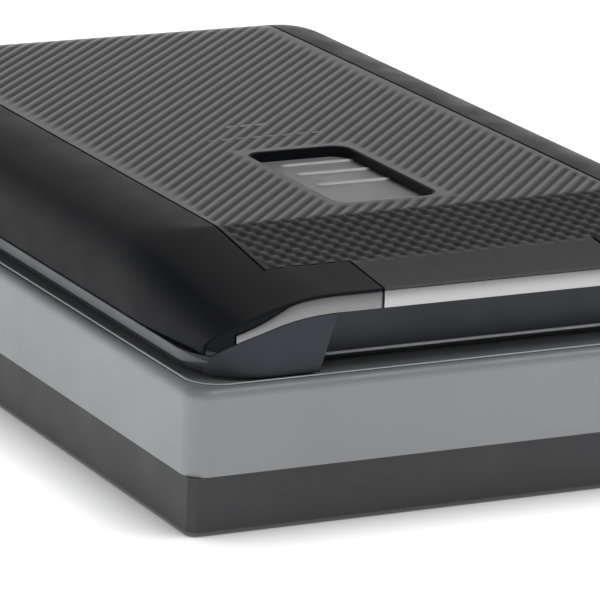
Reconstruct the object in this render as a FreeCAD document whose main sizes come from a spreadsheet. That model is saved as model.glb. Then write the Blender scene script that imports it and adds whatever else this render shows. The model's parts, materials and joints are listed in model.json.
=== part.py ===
import FreeCAD, Part
import math
import os
import re
import Sketcher
from FreeCAD import Placement, Rotation, Vector

# A flatbed photo scanner in millimetres. The origin is the middle of the footprint, on the
# table. +X is to the user's right, +Y to the back and +Z up.
SIZES = {
    # Case
    "body_width": 303,
    "body_depth": 508,
    "foot_height": 2,
    "tray_inset": 0.75,
    "tray_top": 26,
    "rim_top": 63.5,
    "deck_top": 62.5,
    "deck_bottom": 59.5,
    "wall": 2.5,
    "floor": 3,
    "tray_chamfer": 3,
    "cover_corner": 10,
    "deck_corner": 16,
    "rim_fillet": 4.5,
    "groove_inset": 5,
    "groove_width": 0.7,
    "groove_depth": 0.9,
    "ridge_width": 0.9,
    "boss_x": 142,
    "boss_y": 244,
    "boss_radius": 5.5,
    "boss_height": 8,
    "pillar_radius": 4.5,
    "screw_head_hole": 3.3,
    "screw_shank_hole": 1.75,
    "screw_pilot": 1.5,
    "board_post_radius": 3,
    # Scan bed
    "bed_y": -52,
    "glass_width": 222,
    "glass_length": 317,
    "glass_thick": 3,
    "glass_top": 62.2,
    "glass_gap": 0.4,
    "ledge": 5,
    "ledge_thick": 2.5,
    "bezel_width": 4.5,
    "bezel_thick": 0.6,
    # Carriage and its rail
    "home_y": 122,
    "carriage_width": 224,
    "carriage_length": 60,
    "carriage_bottom": 24,
    "carriage_top": 54,
    "carriage_wall": 2,
    "rod_x": -126,
    "rod_z": 17,
    "rod_radius": 4,
    "rod_front": -244,
    "rod_back": 166,
    "bush_radius": 6,
    "bush_length": 14,
    "bush_spread": 20,
    "running_fit": 0.05,
    "rail_x": 122,
    # Belt drive
    "belt_x": -82,
    "belt_thick": 1.2,
    "belt_bottom": 12,
    "belt_height": 6,
    "drive_y": 190,
    "idler_y": -222,
    "pulley_radius": 8,
    "axle_radius": 2,
    "gear_bottom": 20.5,
    "gear_height": 4,
    "pinion_gap": 24.15,
    "motor_bottom": 30,
    "motor_height": 20,
    "motor_radius": 17.5,
    "plate_thick": 1.5,
    # Electronics and rear sockets
    "board_z": 26.5,
    "board_thick": 1.6,
    "board_left": -35,
    "board_right": 72,
    "board_front": 166,
    "board_back": 240,
    "ports_left": -30,
    "ports_right": 95,
    "ports_low": 28,
    "ports_high": 50,
    "port_plate_thick": 1.5,
    "usb_x": 5,
    "jack_x": 30,
    "light_port_x": 53,
    "switch_x": 76,
    # Front buttons
    "panel_left": 52,
    "panel_right": 132,
    "panel_low": 34,
    "panel_high": 56,
    "panel_setback": 1.2,
    "button_pitch": 18,
    "button_first": 65,
    "button_width": 13,
    "button_height": 8,
    "button_z": 45,
    "button_gap": 0.4,
    # Lid
    "lid_half_width": 141,
    "lid_front": 245,
    "lid_back": 230,
    "lid_corner": 31,
    "lid_rear_corner": 24,
    "lid_bottom": 64,
    "bead_bottom": 67,
    "lid_split": 72,
    "shell_low": 72.6,
    "skin": 2.5,
    "lid_floor_low": 65,
    "lid_floor_high": 67,
    "light_half_width": 66,
    "light_front": -150,
    "light_back": 90,
    "gap_half_width": 80,
    "gap_flare": 8.5,
    "gap_depth": 228,
    "trim_drop": 0.9,
    "trim_height": 7.6,
    "trim_thick": 1.6,
    "trim_split": 60,
    "trim_tip": 125.5,
    "trim_tip_z": 82.4,
    "taper_x": 101,
    "taper_z": 94.7,
    "seam": 1.4,
    "back_seam": 1.8,
    # Storage cover in the lid
    "cover_half_width": 100,
    "cover_neck_y": -213,
    "cover_back": 207.4,
    "cover_hinge_y": 196,
    "cover_hinge_z": 99,
    "well_x": -6,
    "well_y": -97,
    "well_width": 52,
    "well_length": 98,
    "well_floor": 103,
    "well_corner": 9,
    # Lid hinge
    "hinge_x": 95,
    "hinge_y": 222,
    "hinge_z": 77,
    "hinge_pin_radius": 2.5,
    "knuckle_radius": 5.5,
    "knuckle_width": 14,
    "post_width": 24,
    "post_thick": 7,
    "post_bottom": 18,
    "slide_fit": 0.35,
}

LID_TOP = 108.0
LID_FRONT_TOP = 97.6
FOLD_Y = -162.6
LID_FLAT_HALF = 100.0
LID_FRONT_FLAT_HALF = 80.0
LID_FRONT_HALF_WIDTH = 134.0
FLANK_POWER = 2.4
FRONT_POWER = 2.0
BACK_FLAT_Y = 186.0
BACK_POWER = 2.2
ARC_STEPS = 10
FRONT_PITCH = 8.0
CREASE = 1.0
SIDE_RUNOUT = 0.6
COVER_EAR_X = 70.0
OPENING_CORNER = 4.0
FILL_GAP, FILL_SETBACK = 0.3, 0.8
COVER_CORNER = 6.0
GEAR_MODULE = 0.8
PINION_TEETH = 12
GEAR_TEETH = 48

DOC = FreeCAD.newDocument("FlatbedScanner")


def make_sheet():
    sheet = DOC.addObject("Spreadsheet::Sheet", "Sizes")
    for row, (alias, value) in enumerate(SIZES.items(), 1):
        sheet.set(f"A{row}", alias.replace("_", " "))
        sheet.set(f"B{row}", str(value))
        sheet.setAlias(f"B{row}", alias)
    DOC.recompute()
    return sheet


SHEET = make_sheet()


def size(alias):
    """A driving dimension read from the sheet, for shapes that are set by code."""
    return float(getattr(SHEET, alias))


def formula(text):
    """An expression whose words are the sheet's aliases."""
    named = lambda match: "Sizes." + match.group() if match.group() in SIZES else match.group()
    return re.sub(r"[a-z_]+", named, str(text))


def bind(thing, **sizes):
    for name, text in sizes.items():
        thing.setExpression(name.replace("__", "."), formula(text))
    return thing


# Part primitives and booleans


def block(name, x, y, z):
    """A box between two limits, low and high, along each axis."""
    box = DOC.addObject("Part::Box", name)
    for length, spot, (low, high) in zip(("Length", "Width", "Height"), "xyz", (x, y, z)):
        box.setExpression(length, formula(f"({high}) - ({low})"))
        box.setExpression(f"Placement.Base.{spot}", formula(low))
    return box


TURNS = {
    "x": Rotation(Vector(0, 1, 0), 90),
    "y": Rotation(Vector(1, 0, 0), -90),
    "z": Rotation(),
}


def pole(name, axis, radius, spot, length):
    """A cylinder from spot along +axis."""
    cylinder = DOC.addObject("Part::Cylinder", name)
    cylinder.Placement = Placement(Vector(), TURNS[axis])
    for letter, text in zip("xyz", spot):
        cylinder.setExpression(f"Placement.Base.{letter}", formula(text))
    return bind(cylinder, Radius=radius, Height=length)


def fuse(name, *pieces):
    result = DOC.addObject("Part::MultiFuse", name)
    result.Shapes = list(pieces)
    return result


def cut(name, base, *tools):
    result = DOC.addObject("Part::Cut", name)
    result.Base = base
    result.Tool = tools[0] if len(tools) == 1 else fuse(name + "_tools", *tools)
    return result


def common(name, first, second):
    result = DOC.addObject("Part::Common", name)
    result.Base = first
    result.Tool = second
    return result


def group(name, *pieces):
    """Separate solids that share one sub-part."""
    result = DOC.addObject("Part::Compound", name)
    result.Links = list(pieces)
    return result


# PartDesign bodies


def new_body(name):
    return DOC.addObject("PartDesign::Body", name)


def sketch_on(body, name, x="0", y="0", z="0"):
    """A sketch parallel to the body's XY plane, with its own origin at x, y, z."""
    sketch = body.newObject("Sketcher::SketchObject", name)
    plane = [part for part in body.Origin.OriginFeatures if part.Role == "XY_Plane"][0]
    sketch.AttachmentSupport = [(plane, "")]
    sketch.MapMode = "FlatFace"
    for letter, text in zip("xyz", (x, y, z)):
        sketch.setExpression(f"AttachmentOffset.Base.{letter}", formula(text))
    return sketch


def drive(sketch, constraint, text):
    index = sketch.addConstraint(constraint)
    sketch.setExpression(f"Constraints[{index}]", formula(text))


def rectangle(sketch, width, length):
    """A rectangle centred on the sketch's origin."""
    corners = [Vector(-10, -10, 0), Vector(10, -10, 0), Vector(10, 10, 0), Vector(-10, 10, 0)]
    ends = zip(corners, corners[1:] + corners[:1])
    lines = [sketch.addGeometry(Part.LineSegment(start, end)) for start, end in ends]
    for line, following in zip(lines, lines[1:] + lines[:1]):
        sketch.addConstraint(Sketcher.Constraint("Coincident", line, 2, following, 1))
    for line, direction in zip(lines, ("Horizontal", "Vertical") * 2):
        sketch.addConstraint(Sketcher.Constraint(direction, line))
    sketch.addConstraint(Sketcher.Constraint("Symmetric", lines[0], 1, lines[2], 1, -1, 1))
    drive(sketch, Sketcher.Constraint("DistanceX", lines[0], 1, lines[0], 2, 20.0), width)
    drive(sketch, Sketcher.Constraint("DistanceY", lines[1], 1, lines[1], 2, 20.0), length)


def rounded_rectangle(sketch, width, length, radius):
    """A rectangle centred on the sketch's origin, with tangent arcs for its corners."""
    turn = math.pi / 2
    lines, arcs = [], []
    for step in range(4):
        spin = Rotation(Vector(0, 0, 1), 90 * step)
        start, end = spin.multVec(Vector(-8, -10, 0)), spin.multVec(Vector(8, -10, 0))
        lines.append(sketch.addGeometry(Part.LineSegment(start, end)))
        circle = Part.Circle(spin.multVec(Vector(8, -8, 0)), Vector(0, 0, 1), 2)
        arcs.append(sketch.addGeometry(Part.ArcOfCircle(circle, (step - 1) * turn, step * turn)))
    for step in range(4):
        following = lines[(step + 1) % 4]
        sketch.addConstraint(Sketcher.Constraint("Tangent", lines[step], 2, arcs[step], 1))
        sketch.addConstraint(Sketcher.Constraint("Tangent", arcs[step], 2, following, 1))
    for line, direction in zip(lines, ("Horizontal", "Vertical") * 2):
        sketch.addConstraint(Sketcher.Constraint(direction, line))
    for arc in arcs[1:]:
        sketch.addConstraint(Sketcher.Constraint("Equal", arcs[0], arc))
    sketch.addConstraint(Sketcher.Constraint("Symmetric", arcs[0], 3, arcs[2], 3, -1, 1))
    drive(sketch, Sketcher.Constraint("Radius", arcs[0], 2.0), radius)
    inner = lambda text: f"({text}) - 2 * ({radius})"
    drive(sketch, Sketcher.Constraint("DistanceX", arcs[3], 3, arcs[0], 3, 16.0), inner(width))
    drive(sketch, Sketcher.Constraint("DistanceY", arcs[0], 3, arcs[1], 3, 16.0), inner(length))


def circles(sketch, spots, radius):
    for x, y in spots:
        ring = sketch.addGeometry(Part.Circle(Vector(1, 1, 0), Vector(0, 0, 1), 1))
        drive(sketch, Sketcher.Constraint("DistanceX", -1, 1, ring, 3, 1.0), x)
        drive(sketch, Sketcher.Constraint("DistanceY", -1, 1, ring, 3, 1.0), y)
        drive(sketch, Sketcher.Constraint("Radius", ring, 1.0), radius)


def pad(body, sketch, length):
    feature = body.newObject("PartDesign::Pad", sketch.Name + "_pad")
    feature.Profile = sketch
    return bind(feature, Length=length)


def pocket_up(body, sketch, length):
    """Cuts upwards from the sketch."""
    feature = body.newObject("PartDesign::Pocket", sketch.Name + "_pocket")
    feature.Profile = sketch
    feature.Reversed = True
    return bind(feature, Length=length)


def dress(body, kind, name, feature, amount, test):
    """A PartDesign fillet or chamfer on the edges of feature that pass test."""
    DOC.recompute()
    result = body.newObject(f"PartDesign::{kind}", name)
    chosen = [f"Edge{i}" for i, edge in enumerate(feature.Shape.Edges, 1) if test(edge)]
    result.Base = (feature, chosen)
    result.setExpression("Radius" if kind == "Fillet" else "Size", formula(amount))
    return result


def upright(edge):
    ends = [vertex.Point for vertex in edge.Vertexes]
    return len(ends) == 2 and abs(ends[0].x - ends[1].x) + abs(ends[0].y - ends[1].y) < 0.001


def level_at(edge, z):
    box = edge.BoundBox
    return abs(box.ZMin - z) < 0.001 and abs(box.ZMax - z) < 0.001


BOSSES = [(x, y) for x in ("-boss_x", "boss_x") for y in ("-boss_y", "0", "boss_y")]
SOCKETS = {"left": "-hinge_x", "right": "hinge_x"}


# Case


def base_tray():
    """The dark lower half of the case, an open tub with screw bosses and board posts."""
    body = new_body("base_tray")
    outer = sketch_on(body, "tray_outer", z="foot_height")
    rectangle(outer, "body_width - 2 * tray_inset", "body_depth - 2 * tray_inset")
    tub = pad(body, outer, "tray_top - foot_height")
    dress(body, "Chamfer", "tray_corners", tub, "tray_chamfer", upright)
    inner = sketch_on(body, "tray_inner", z="foot_height + floor")
    width = "body_width - 2 * tray_inset - 2 * wall"
    rectangle(inner, width, "body_depth - 2 * tray_inset - 2 * wall")
    pocket_up(body, inner, "tray_top")
    bosses = sketch_on(body, "tray_bosses", z="foot_height")
    circles(bosses, BOSSES, "boss_radius")
    pad(body, bosses, "boss_height")
    posts = sketch_on(body, "board_posts", z="foot_height + 1")
    spots = [(x, y) for x in ("board_left + 6", "board_right - 6")
             for y in ("board_front + 6", "board_back - 6")]
    circles(posts, spots, "board_post_radius")
    pad(body, posts, "board_z - foot_height - 1")
    heads = sketch_on(body, "screw_counterbores", z="foot_height - 1")
    circles(heads, BOSSES, "screw_head_hole")
    pocket_up(body, heads, "floor + 2")
    shanks = sketch_on(body, "screw_clearances", z="foot_height - 1")
    circles(shanks, BOSSES, "screw_shank_hole")
    pocket_up(body, shanks, "boss_height + 4")
    return body


def base_cover():
    """The grey upper half: walls, raised rim with its groove and ridge, and the deck."""
    body = new_body("base_cover")
    outer = sketch_on(body, "cover_outer", z="tray_top")
    rounded_rectangle(outer, "body_width", "body_depth", "cover_corner")
    shell = pad(body, outer, "rim_top - tray_top")
    top = size("rim_top")
    dress(body, "Fillet", "rim_round", shell, "rim_fillet", lambda edge: level_at(edge, top))
    groove = sketch_on(body, "rim_groove", z="rim_top - groove_depth")
    inset = "2 * groove_inset"
    rounded_rectangle(groove, f"body_width - {inset}", f"body_depth - {inset}", "deck_corner")
    inset = "2 * (groove_inset + groove_width)"
    rounded_rectangle(groove, f"body_width - {inset}", f"body_depth - {inset}",
                      "deck_corner - groove_width")
    pocket_up(body, groove, "groove_depth")
    deck = sketch_on(body, "deck_recess", z="deck_top")
    inset = "2 * (groove_inset + groove_width + ridge_width)"
    rounded_rectangle(deck, f"body_width - {inset}", f"body_depth - {inset}",
                      "deck_corner - groove_width - ridge_width")
    pocket_up(body, deck, "rim_top - deck_top")
    inner = sketch_on(body, "cover_inner", z="tray_top - 1")
    rounded_rectangle(inner, "body_width - 2 * wall", "body_depth - 2 * wall", "cover_corner - wall")
    pocket_up(body, inner, "deck_bottom - tray_top + 1")
    ledge = sketch_on(body, "glass_ledge", y="bed_y", z="glass_top - glass_thick - ledge_thick")
    rectangle(ledge, "glass_width + 6", "glass_length + 6")
    pad(body, ledge, "deck_bottom + 1 - glass_top + glass_thick + ledge_thick")
    seat = sketch_on(body, "glass_seat", y="bed_y", z="glass_top - glass_thick")
    rectangle(seat, "glass_width + 2 * glass_gap", "glass_length + 2 * glass_gap")
    pocket_up(body, seat, "10")
    window = sketch_on(body, "scan_window", y="bed_y", z="tray_top + 10")
    rectangle(window, "glass_width - 2 * ledge", "glass_length - 2 * ledge")
    pocket_up(body, window, "40")
    pillars = sketch_on(body, "cover_bosses", z="foot_height + boss_height + 0.2")
    circles(pillars, BOSSES, "pillar_radius")
    pad(body, pillars, "deck_bottom - foot_height - boss_height + 0.8")
    pilots = sketch_on(body, "boss_pilots", z="foot_height + boss_height - 1")
    circles(pilots, BOSSES, "screw_pilot")
    pocket_up(body, pilots, "30")
    for side, x in SOCKETS.items():
        hole = sketch_on(body, f"post_hole_{side}", x=x, y="hinge_y", z="deck_bottom - 1")
        rectangle(hole, "post_width + 2 * slide_fit", "post_thick + 2 * slide_fit")
        pocket_up(body, hole, "10")
    rear = sketch_on(body, "port_opening", x="(ports_left + ports_right) / 2",
                     y="body_depth / 2 - wall / 2", z="ports_low")
    rectangle(rear, "ports_right - ports_left", "wall + 2")
    pocket_up(body, rear, "ports_high - ports_low")
    front = sketch_on(body, "panel_opening", x="(panel_left + panel_right) / 2",
                      y="-body_depth / 2 + wall / 2", z="panel_low")
    rectangle(front, "panel_right - panel_left", "wall + 2")
    pocket_up(body, front, "panel_high - panel_low")
    return body


def platen():
    """The glass, the printed scale frame over its edge and the white strip under one end."""
    glass = new_body("platen_glass")
    outline = sketch_on(glass, "glass_outline", y="bed_y", z="glass_top - glass_thick")
    rectangle(outline, "glass_width", "glass_length")
    pad(glass, outline, "glass_thick")
    bezel = new_body("scale_bezel")
    frame = sketch_on(bezel, "bezel_outline", y="bed_y", z="deck_top + 0.05")
    rectangle(frame, "glass_width + 2 * bezel_width", "glass_length + 2 * bezel_width")
    rectangle(frame, "glass_width - bezel_width", "glass_length - bezel_width")
    pad(bezel, frame, "bezel_thick")
    strip = block("calibration_strip", ("-glass_width / 2 + 8", "glass_width / 2 - 8"),
                  ("bed_y + glass_length / 2 - 17", "bed_y + glass_length / 2 - 6"),
                  ("glass_top - glass_thick - 0.5", "glass_top - glass_thick - 0.05"))
    return [glass, bezel, strip]


def feet_and_screws():
    spots = [(x, y) for x in ("-130", "130") for y in ("-218", "218")]
    feet = [pole(f"foot_{i}", "z", 9, (x, y, 0), "foot_height - 0.02")
            for i, (x, y) in enumerate(spots)]
    screws = []
    for i, (x, y) in enumerate(BOSSES):
        head = pole(f"screw_head_{i}", "z", 3, (x, y, "foot_height + 1.4"), 2.5)
        shank = pole(f"screw_shank_{i}", "z", 1.45, (x, y, "foot_height + 3.8"), 22)
        slot = block(f"screw_slot_{i}", (f"{x} - 2", f"{x} + 2"), (f"{y} - 0.4", f"{y} + 0.4"),
                     ("foot_height", "foot_height + 2.4"))
        screws.append(cut(f"screw_{i}", fuse(f"screw_blank_{i}", head, shank), slot))
    return [group("feet", *feet), group("case_screws", *screws)]


# Scanning carriage and its guides


def guides():
    """The round guide rod in its two clamps, and the flat rail on the other side."""
    rod = pole("guide_rod", "y", "rod_radius", ("rod_x", "rod_front", "rod_z"),
               "rod_back - rod_front")
    clamps = []
    for end, low, high in (("front", "rod_front - 3", "rod_front + 9"),
                           ("back", "rod_back - 9", "rod_back + 3")):
        seat = block(f"clamp_seat_{end}", ("rod_x - 9", "rod_x + 9"), (low, high),
                     ("foot_height + floor", "rod_z + 8"))
        bore = pole(f"clamp_bore_{end}", "y", "rod_radius + 0.02",
                    ("rod_x", f"{low} + 3" if end == "front" else low, "rod_z"), 9)
        clamps.append(cut(f"clamp_{end}", seat, bore))
    rail = block("slide_rail", ("rail_x - 4", "rail_x + 4"), ("rod_front + 20", "rod_back"),
                 ("foot_height + floor", "carriage_bottom - 3"))
    return [rod, group("rod_clamps", *clamps), rail]


def carriage():
    """The optical carriage: an open box with bush blocks, lamp, mirrors, lens and sensor."""
    body = new_body("carriage_body")
    outer = sketch_on(body, "carriage_outer", y="home_y", z="carriage_bottom")
    rectangle(outer, "carriage_width", "carriage_length")
    shell = pad(body, outer, "carriage_top - carriage_bottom")
    dress(body, "Fillet", "carriage_corners", shell, "2", upright)
    inner = sketch_on(body, "carriage_inner", y="home_y", z="carriage_bottom + carriage_wall")
    rectangle(inner, "carriage_width - 2 * carriage_wall", "carriage_length - 2 * carriage_wall")
    pocket_up(body, inner, "carriage_top")
    bridge = sketch_on(body, "bush_bridge", x="rod_x + 9", y="home_y", z="rod_z - 9")
    rectangle(bridge, "14", "2 * bush_spread + bush_length + 6")
    pad(body, bridge, "carriage_bottom + 8 - rod_z + 9")
    channel = sketch_on(body, "rod_channel", x="rod_x", y="home_y", z="rod_z - 10")
    rectangle(channel, "2 * bush_radius + 0.04", "2 * bush_spread + bush_length + 8")
    pocket_up(body, channel, "10 + bush_radius + 0.02")
    bushes = []
    for end, sign in (("front", "-"), ("back", "+")):
        start = f"home_y {sign} bush_spread - bush_length / 2"
        ring = pole(f"bush_ring_{end}", "y", "bush_radius", ("rod_x", start, "rod_z"), "bush_length")
        bore = pole(f"bush_bore_{end}", "y", "rod_radius + running_fit", ("rod_x", start, "rod_z"),
                    "bush_length")
        bushes.append(cut(f"bush_{end}", ring, bore))
    glide = block("rail_glide", ("rail_x - 12", "rail_x - 1"), ("home_y - 8", "home_y + 8"),
                  ("carriage_bottom - 2.9", "carriage_bottom - 0.02"))
    return body, group("rod_bushes", *bushes), glide


def optics():
    """What the carriage holds, from the lamp under the glass down to the sensor board."""
    wide = "carriage_width - 2 * carriage_wall - 0.1"
    left = "-carriage_width / 2 + carriage_wall + 0.05"
    lamp = pole("lamp_tube", "x", 2.2, (left, "home_y - 18", "carriage_top - 4"), wide)
    shade = block("reflector_blank", (left, f"-({left})"), ("home_y - 24", "home_y - 12"),
                  ("carriage_top - 9", "carriage_top - 2.5"))
    hollow = pole("reflector_hollow", "x", 4.5, (f"{left} - 1", "home_y - 17", "carriage_top - 3.4"),
                  f"{wide} + 2")
    reflector = cut("lamp_reflector", shade, hollow)
    mirrors = []
    for i, (y, z, tilt) in enumerate((("home_y - 4", "carriage_bottom + 6", 45),
                                      ("home_y + 15", "carriage_bottom + 8", -38),
                                      ("home_y - 20", "carriage_bottom + 8", 52))):
        mirror = DOC.addObject("Part::Box", f"mirror_{i}")
        mirror.Placement = Placement(Vector(), Rotation(Vector(1, 0, 0), tilt))
        bind(mirror, Length=wide, Width=9, Height=1.6)
        bind(mirror, Placement__Base__x=left, Placement__Base__y=y, Placement__Base__z=z)
        mirrors.append(mirror)
    barrel = fuse("lens_blank", pole("lens_tube", "y", 7, ("0", "home_y + 4", "carriage_bottom + 20"), 16),
                  block("lens_foot", ("-6", "6"), ("home_y + 6", "home_y + 14"),
                        ("carriage_bottom + carriage_wall + 0.02", "carriage_bottom + 16")))
    eye = pole("lens_eye", "y", 4, ("0", "home_y + 3", "carriage_bottom + 20"), 4)
    lens = cut("lens_barrel", barrel, eye)
    board = block("sensor_board", ("-32", "32"), ("home_y + 24", "home_y + 25.6"),
                  ("carriage_bottom + carriage_wall + 0.02", "carriage_top - 1"))
    clip = cut("belt_clip",
               block("clip_blank", ("belt_x + pulley_radius - 3.5", "belt_x + pulley_radius + 5"),
                     ("home_y - 9", "home_y + 9"), ("belt_bottom - 2", "carriage_bottom - 0.02")),
               block("clip_slot", ("belt_x + pulley_radius - 0.3",
                                   "belt_x + pulley_radius + belt_thick + 0.3"),
                     ("home_y - 10", "home_y + 10"),
                     ("belt_bottom - 0.5", "belt_bottom + belt_height + 0.3")))
    return [lamp, reflector, group("scan_mirrors", *mirrors), lens, board, clip]


# Belt drive


def involute(base_radius, roll):
    """A point of the involute of a circle, unrolled by an angle in radians."""
    return Vector(base_radius * (math.cos(roll) + roll * math.sin(roll)),
                  base_radius * (math.sin(roll) - roll * math.cos(roll)), 0)


def gear_face(teeth, module, turn):
    """The flat outline of a spur gear of 20 degrees pressure angle, turned about its centre."""
    pressure = math.radians(20)
    pitch = teeth * module / 2
    base, tip = pitch * math.cos(pressure), pitch + module
    root = pitch - 1.25 * module
    roll_at = lambda radius: math.sqrt(max((radius / base) ** 2 - 1, 0))
    half = math.pi / (2 * teeth) + math.tan(pressure) - pressure
    rolls = [roll_at(tip) * i / 6 for i in range(7)]
    rolls = [roll for roll in rolls if base * math.hypot(1, roll) >= root]
    edges = []
    for tooth in range(teeth):
        spin = turn + 2 * math.pi * tooth / teeth
        put = lambda point, sign: Rotation(Vector(0, 0, 1), math.degrees(spin)).multVec(
            Rotation(Vector(0, 0, 1), -sign * math.degrees(half)).multVec(
                Vector(point.x, sign * point.y, 0)))
        rise = [put(involute(base, roll), 1) for roll in rolls]
        fall = [put(involute(base, roll), -1) for roll in reversed(rolls)]
        foot = put(Vector(root, 0, 0), 1)
        heel = put(Vector(root, 0, 0), -1)
        crown = Rotation(Vector(0, 0, 1), math.degrees(spin)).multVec(Vector(tip, 0, 0))
        gap = spin + math.pi / teeth
        valley = Vector(root * math.cos(gap), root * math.sin(gap), 0)
        following = Rotation(Vector(0, 0, 1), 360 / teeth).multVec(foot)
        edges.append(Part.makeLine(foot, rise[0]))
        edges.append(spline_edge(rise))
        edges.append(Part.Arc(rise[-1], crown, fall[0]).toShape())
        edges.append(spline_edge(fall))
        edges.append(Part.makeLine(fall[-1], heel))
        edges.append(Part.Arc(heel, valley, following).toShape())
    return Part.Face(Part.Wire(edges))


def spline_edge(points):
    curve = Part.BSplineCurve()
    curve.interpolate(points)
    return curve.toShape()


def feature(name, shape):
    """A sub-part whose shape is set by code, because no sketch or primitive fits it."""
    result = DOC.addObject("Part::Feature", name)
    result.Shape = shape
    return result


def spur_gear(name, teeth, x, y, z, height, bore, turn):
    flat = gear_face(teeth, GEAR_MODULE, turn)
    solid = flat.extrude(Vector(0, 0, height))
    solid = solid.cut(Part.makeCylinder(bore, height))
    solid.translate(Vector(x, y, z))
    return feature(name, solid)


def drive_train():
    x, y = size("belt_x"), size("drive_y")
    bottom, height = size("gear_bottom"), size("gear_height")
    bore = size("axle_radius") + size("running_fit")
    gear = spur_gear("drive_gear", GEAR_TEETH, x, y, bottom, height, bore, 0)
    pinion_x = x + size("pinion_gap")
    facing = math.pi + math.pi / PINION_TEETH
    pinion = spur_gear("motor_pinion", PINION_TEETH, pinion_x, y, bottom, height, 1.0, facing)
    wheels = []
    for name, wheel_y in (("drive_pulley", "drive_y"), ("idler_pulley", "idler_y")):
        core = pole(f"{name}_core", "z", "pulley_radius - running_fit",
                    ("belt_x", wheel_y, "belt_bottom - 0.4"), "belt_height + 0.8")
        flanges = [pole(f"{name}_flange_{end}", "z", "pulley_radius + 2.4",
                        ("belt_x", wheel_y, start), 1)
                   for end, start in (("low", "belt_bottom - 1.4"),
                                      ("high", "belt_bottom + belt_height + 0.4"))]
        bore_hole = pole(f"{name}_bore", "z", "axle_radius + running_fit",
                         ("belt_x", wheel_y, "belt_bottom - 3"), 14)
        wheels.append(cut(name, fuse(f"{name}_blank", core, *flanges), bore_hole))
    outer = belt_loop("belt_outer", "pulley_radius + belt_thick")
    belt = cut("drive_belt", outer, belt_loop("belt_inner", "pulley_radius"))
    return [gear, pinion, *wheels, belt]


def belt_loop(name, radius):
    """A filled oblong round both pulleys."""
    ends = [pole(f"{name}_{spot}", "z", radius, ("belt_x", spot, "belt_bottom"), "belt_height")
            for spot in ("drive_y", "idler_y")]
    middle = block(f"{name}_middle", (f"belt_x - ({radius})", f"belt_x + {radius}"),
                   ("idler_y", "drive_y"), ("belt_bottom", "belt_bottom + belt_height"))
    return fuse(name, *ends, middle)


def drive_mounts():
    """The motor on its plate, the two axles, and the sprung idler bracket."""
    plate = block("plate_top", ("belt_x - 24", "belt_x + pinion_gap + 20"),
                  ("drive_y - 20", "drive_y + 20"), ("motor_bottom - plate_thick", "motor_bottom"))
    legs = [block(f"plate_leg_{i}", (low, f"{low} + plate_thick"), ("drive_y - 20", "drive_y + 20"),
                  ("foot_height + floor", "motor_bottom - 1"))
            for i, low in enumerate(("belt_x - 24", "belt_x + pinion_gap + 18.5"))]
    shaft_hole = pole("plate_hole", "z", 5, ("belt_x + pinion_gap", "drive_y", "motor_bottom - 5"), 10)
    bracket = cut("motor_bracket", fuse("plate_blank", plate, *legs), shaft_hole)
    can = pole("motor_can", "z", "motor_radius", ("belt_x + pinion_gap", "drive_y", "motor_bottom"),
               "motor_height")
    shaft = pole("motor_shaft", "z", 0.95, ("belt_x + pinion_gap", "drive_y", "gear_bottom - 1"),
                 "motor_bottom - gear_bottom + 2")
    cap = pole("motor_cap", "z", 5, ("belt_x + pinion_gap", "drive_y", "motor_bottom"),
               "motor_height + 1.5")
    motor = fuse("stepper_motor", can, shaft, cap)
    axles = [pole("gear_axle", "z", "axle_radius", ("belt_x", "drive_y", "foot_height + floor"),
                  "motor_bottom - plate_thick - foot_height - floor"),
             pole("idler_axle", "z", "axle_radius", ("belt_x", "idler_y", "foot_height + floor + 2"),
                  "carriage_bottom - foot_height - floor - 2.5")]
    base = block("idler_foot", ("belt_x - 14", "belt_x + 14"), ("idler_y - 16", "idler_y + 12"),
                 ("foot_height + floor", "foot_height + floor + 2"))
    stop = block("idler_stop", ("belt_x - 14", "belt_x + 14"), ("idler_y - 16", "idler_y - 14"),
                 ("foot_height + floor", "foot_height + floor + 6"))
    idler = fuse("idler_bracket", base, stop)
    turns = DOC.addObject("Part::Helix", "spring_path")
    bind(turns, Pitch=1.6, Height=9, Radius=2)
    wire = DOC.addObject("Part::Circle", "spring_wire")
    wire.Placement = Placement(Vector(2, 0, 0), Rotation(Vector(1, 0, 0), 90))
    bind(wire, Radius=0.35)
    DOC.recompute()
    coil = Part.Wire(turns.Shape.Edges).makePipeShell([Part.Wire(wire.Shape.Edges)], True, True)
    coil.rotate(Vector(), Vector(1, 0, 0), -90)
    coil.translate(Vector(size("belt_x"), size("idler_y") - 25.6, 10))
    spring = feature("belt_spring", coil)
    return [bracket, motor, group("belt_axles", *axles), idler, spring]


# Electronics, sockets and controls


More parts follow.
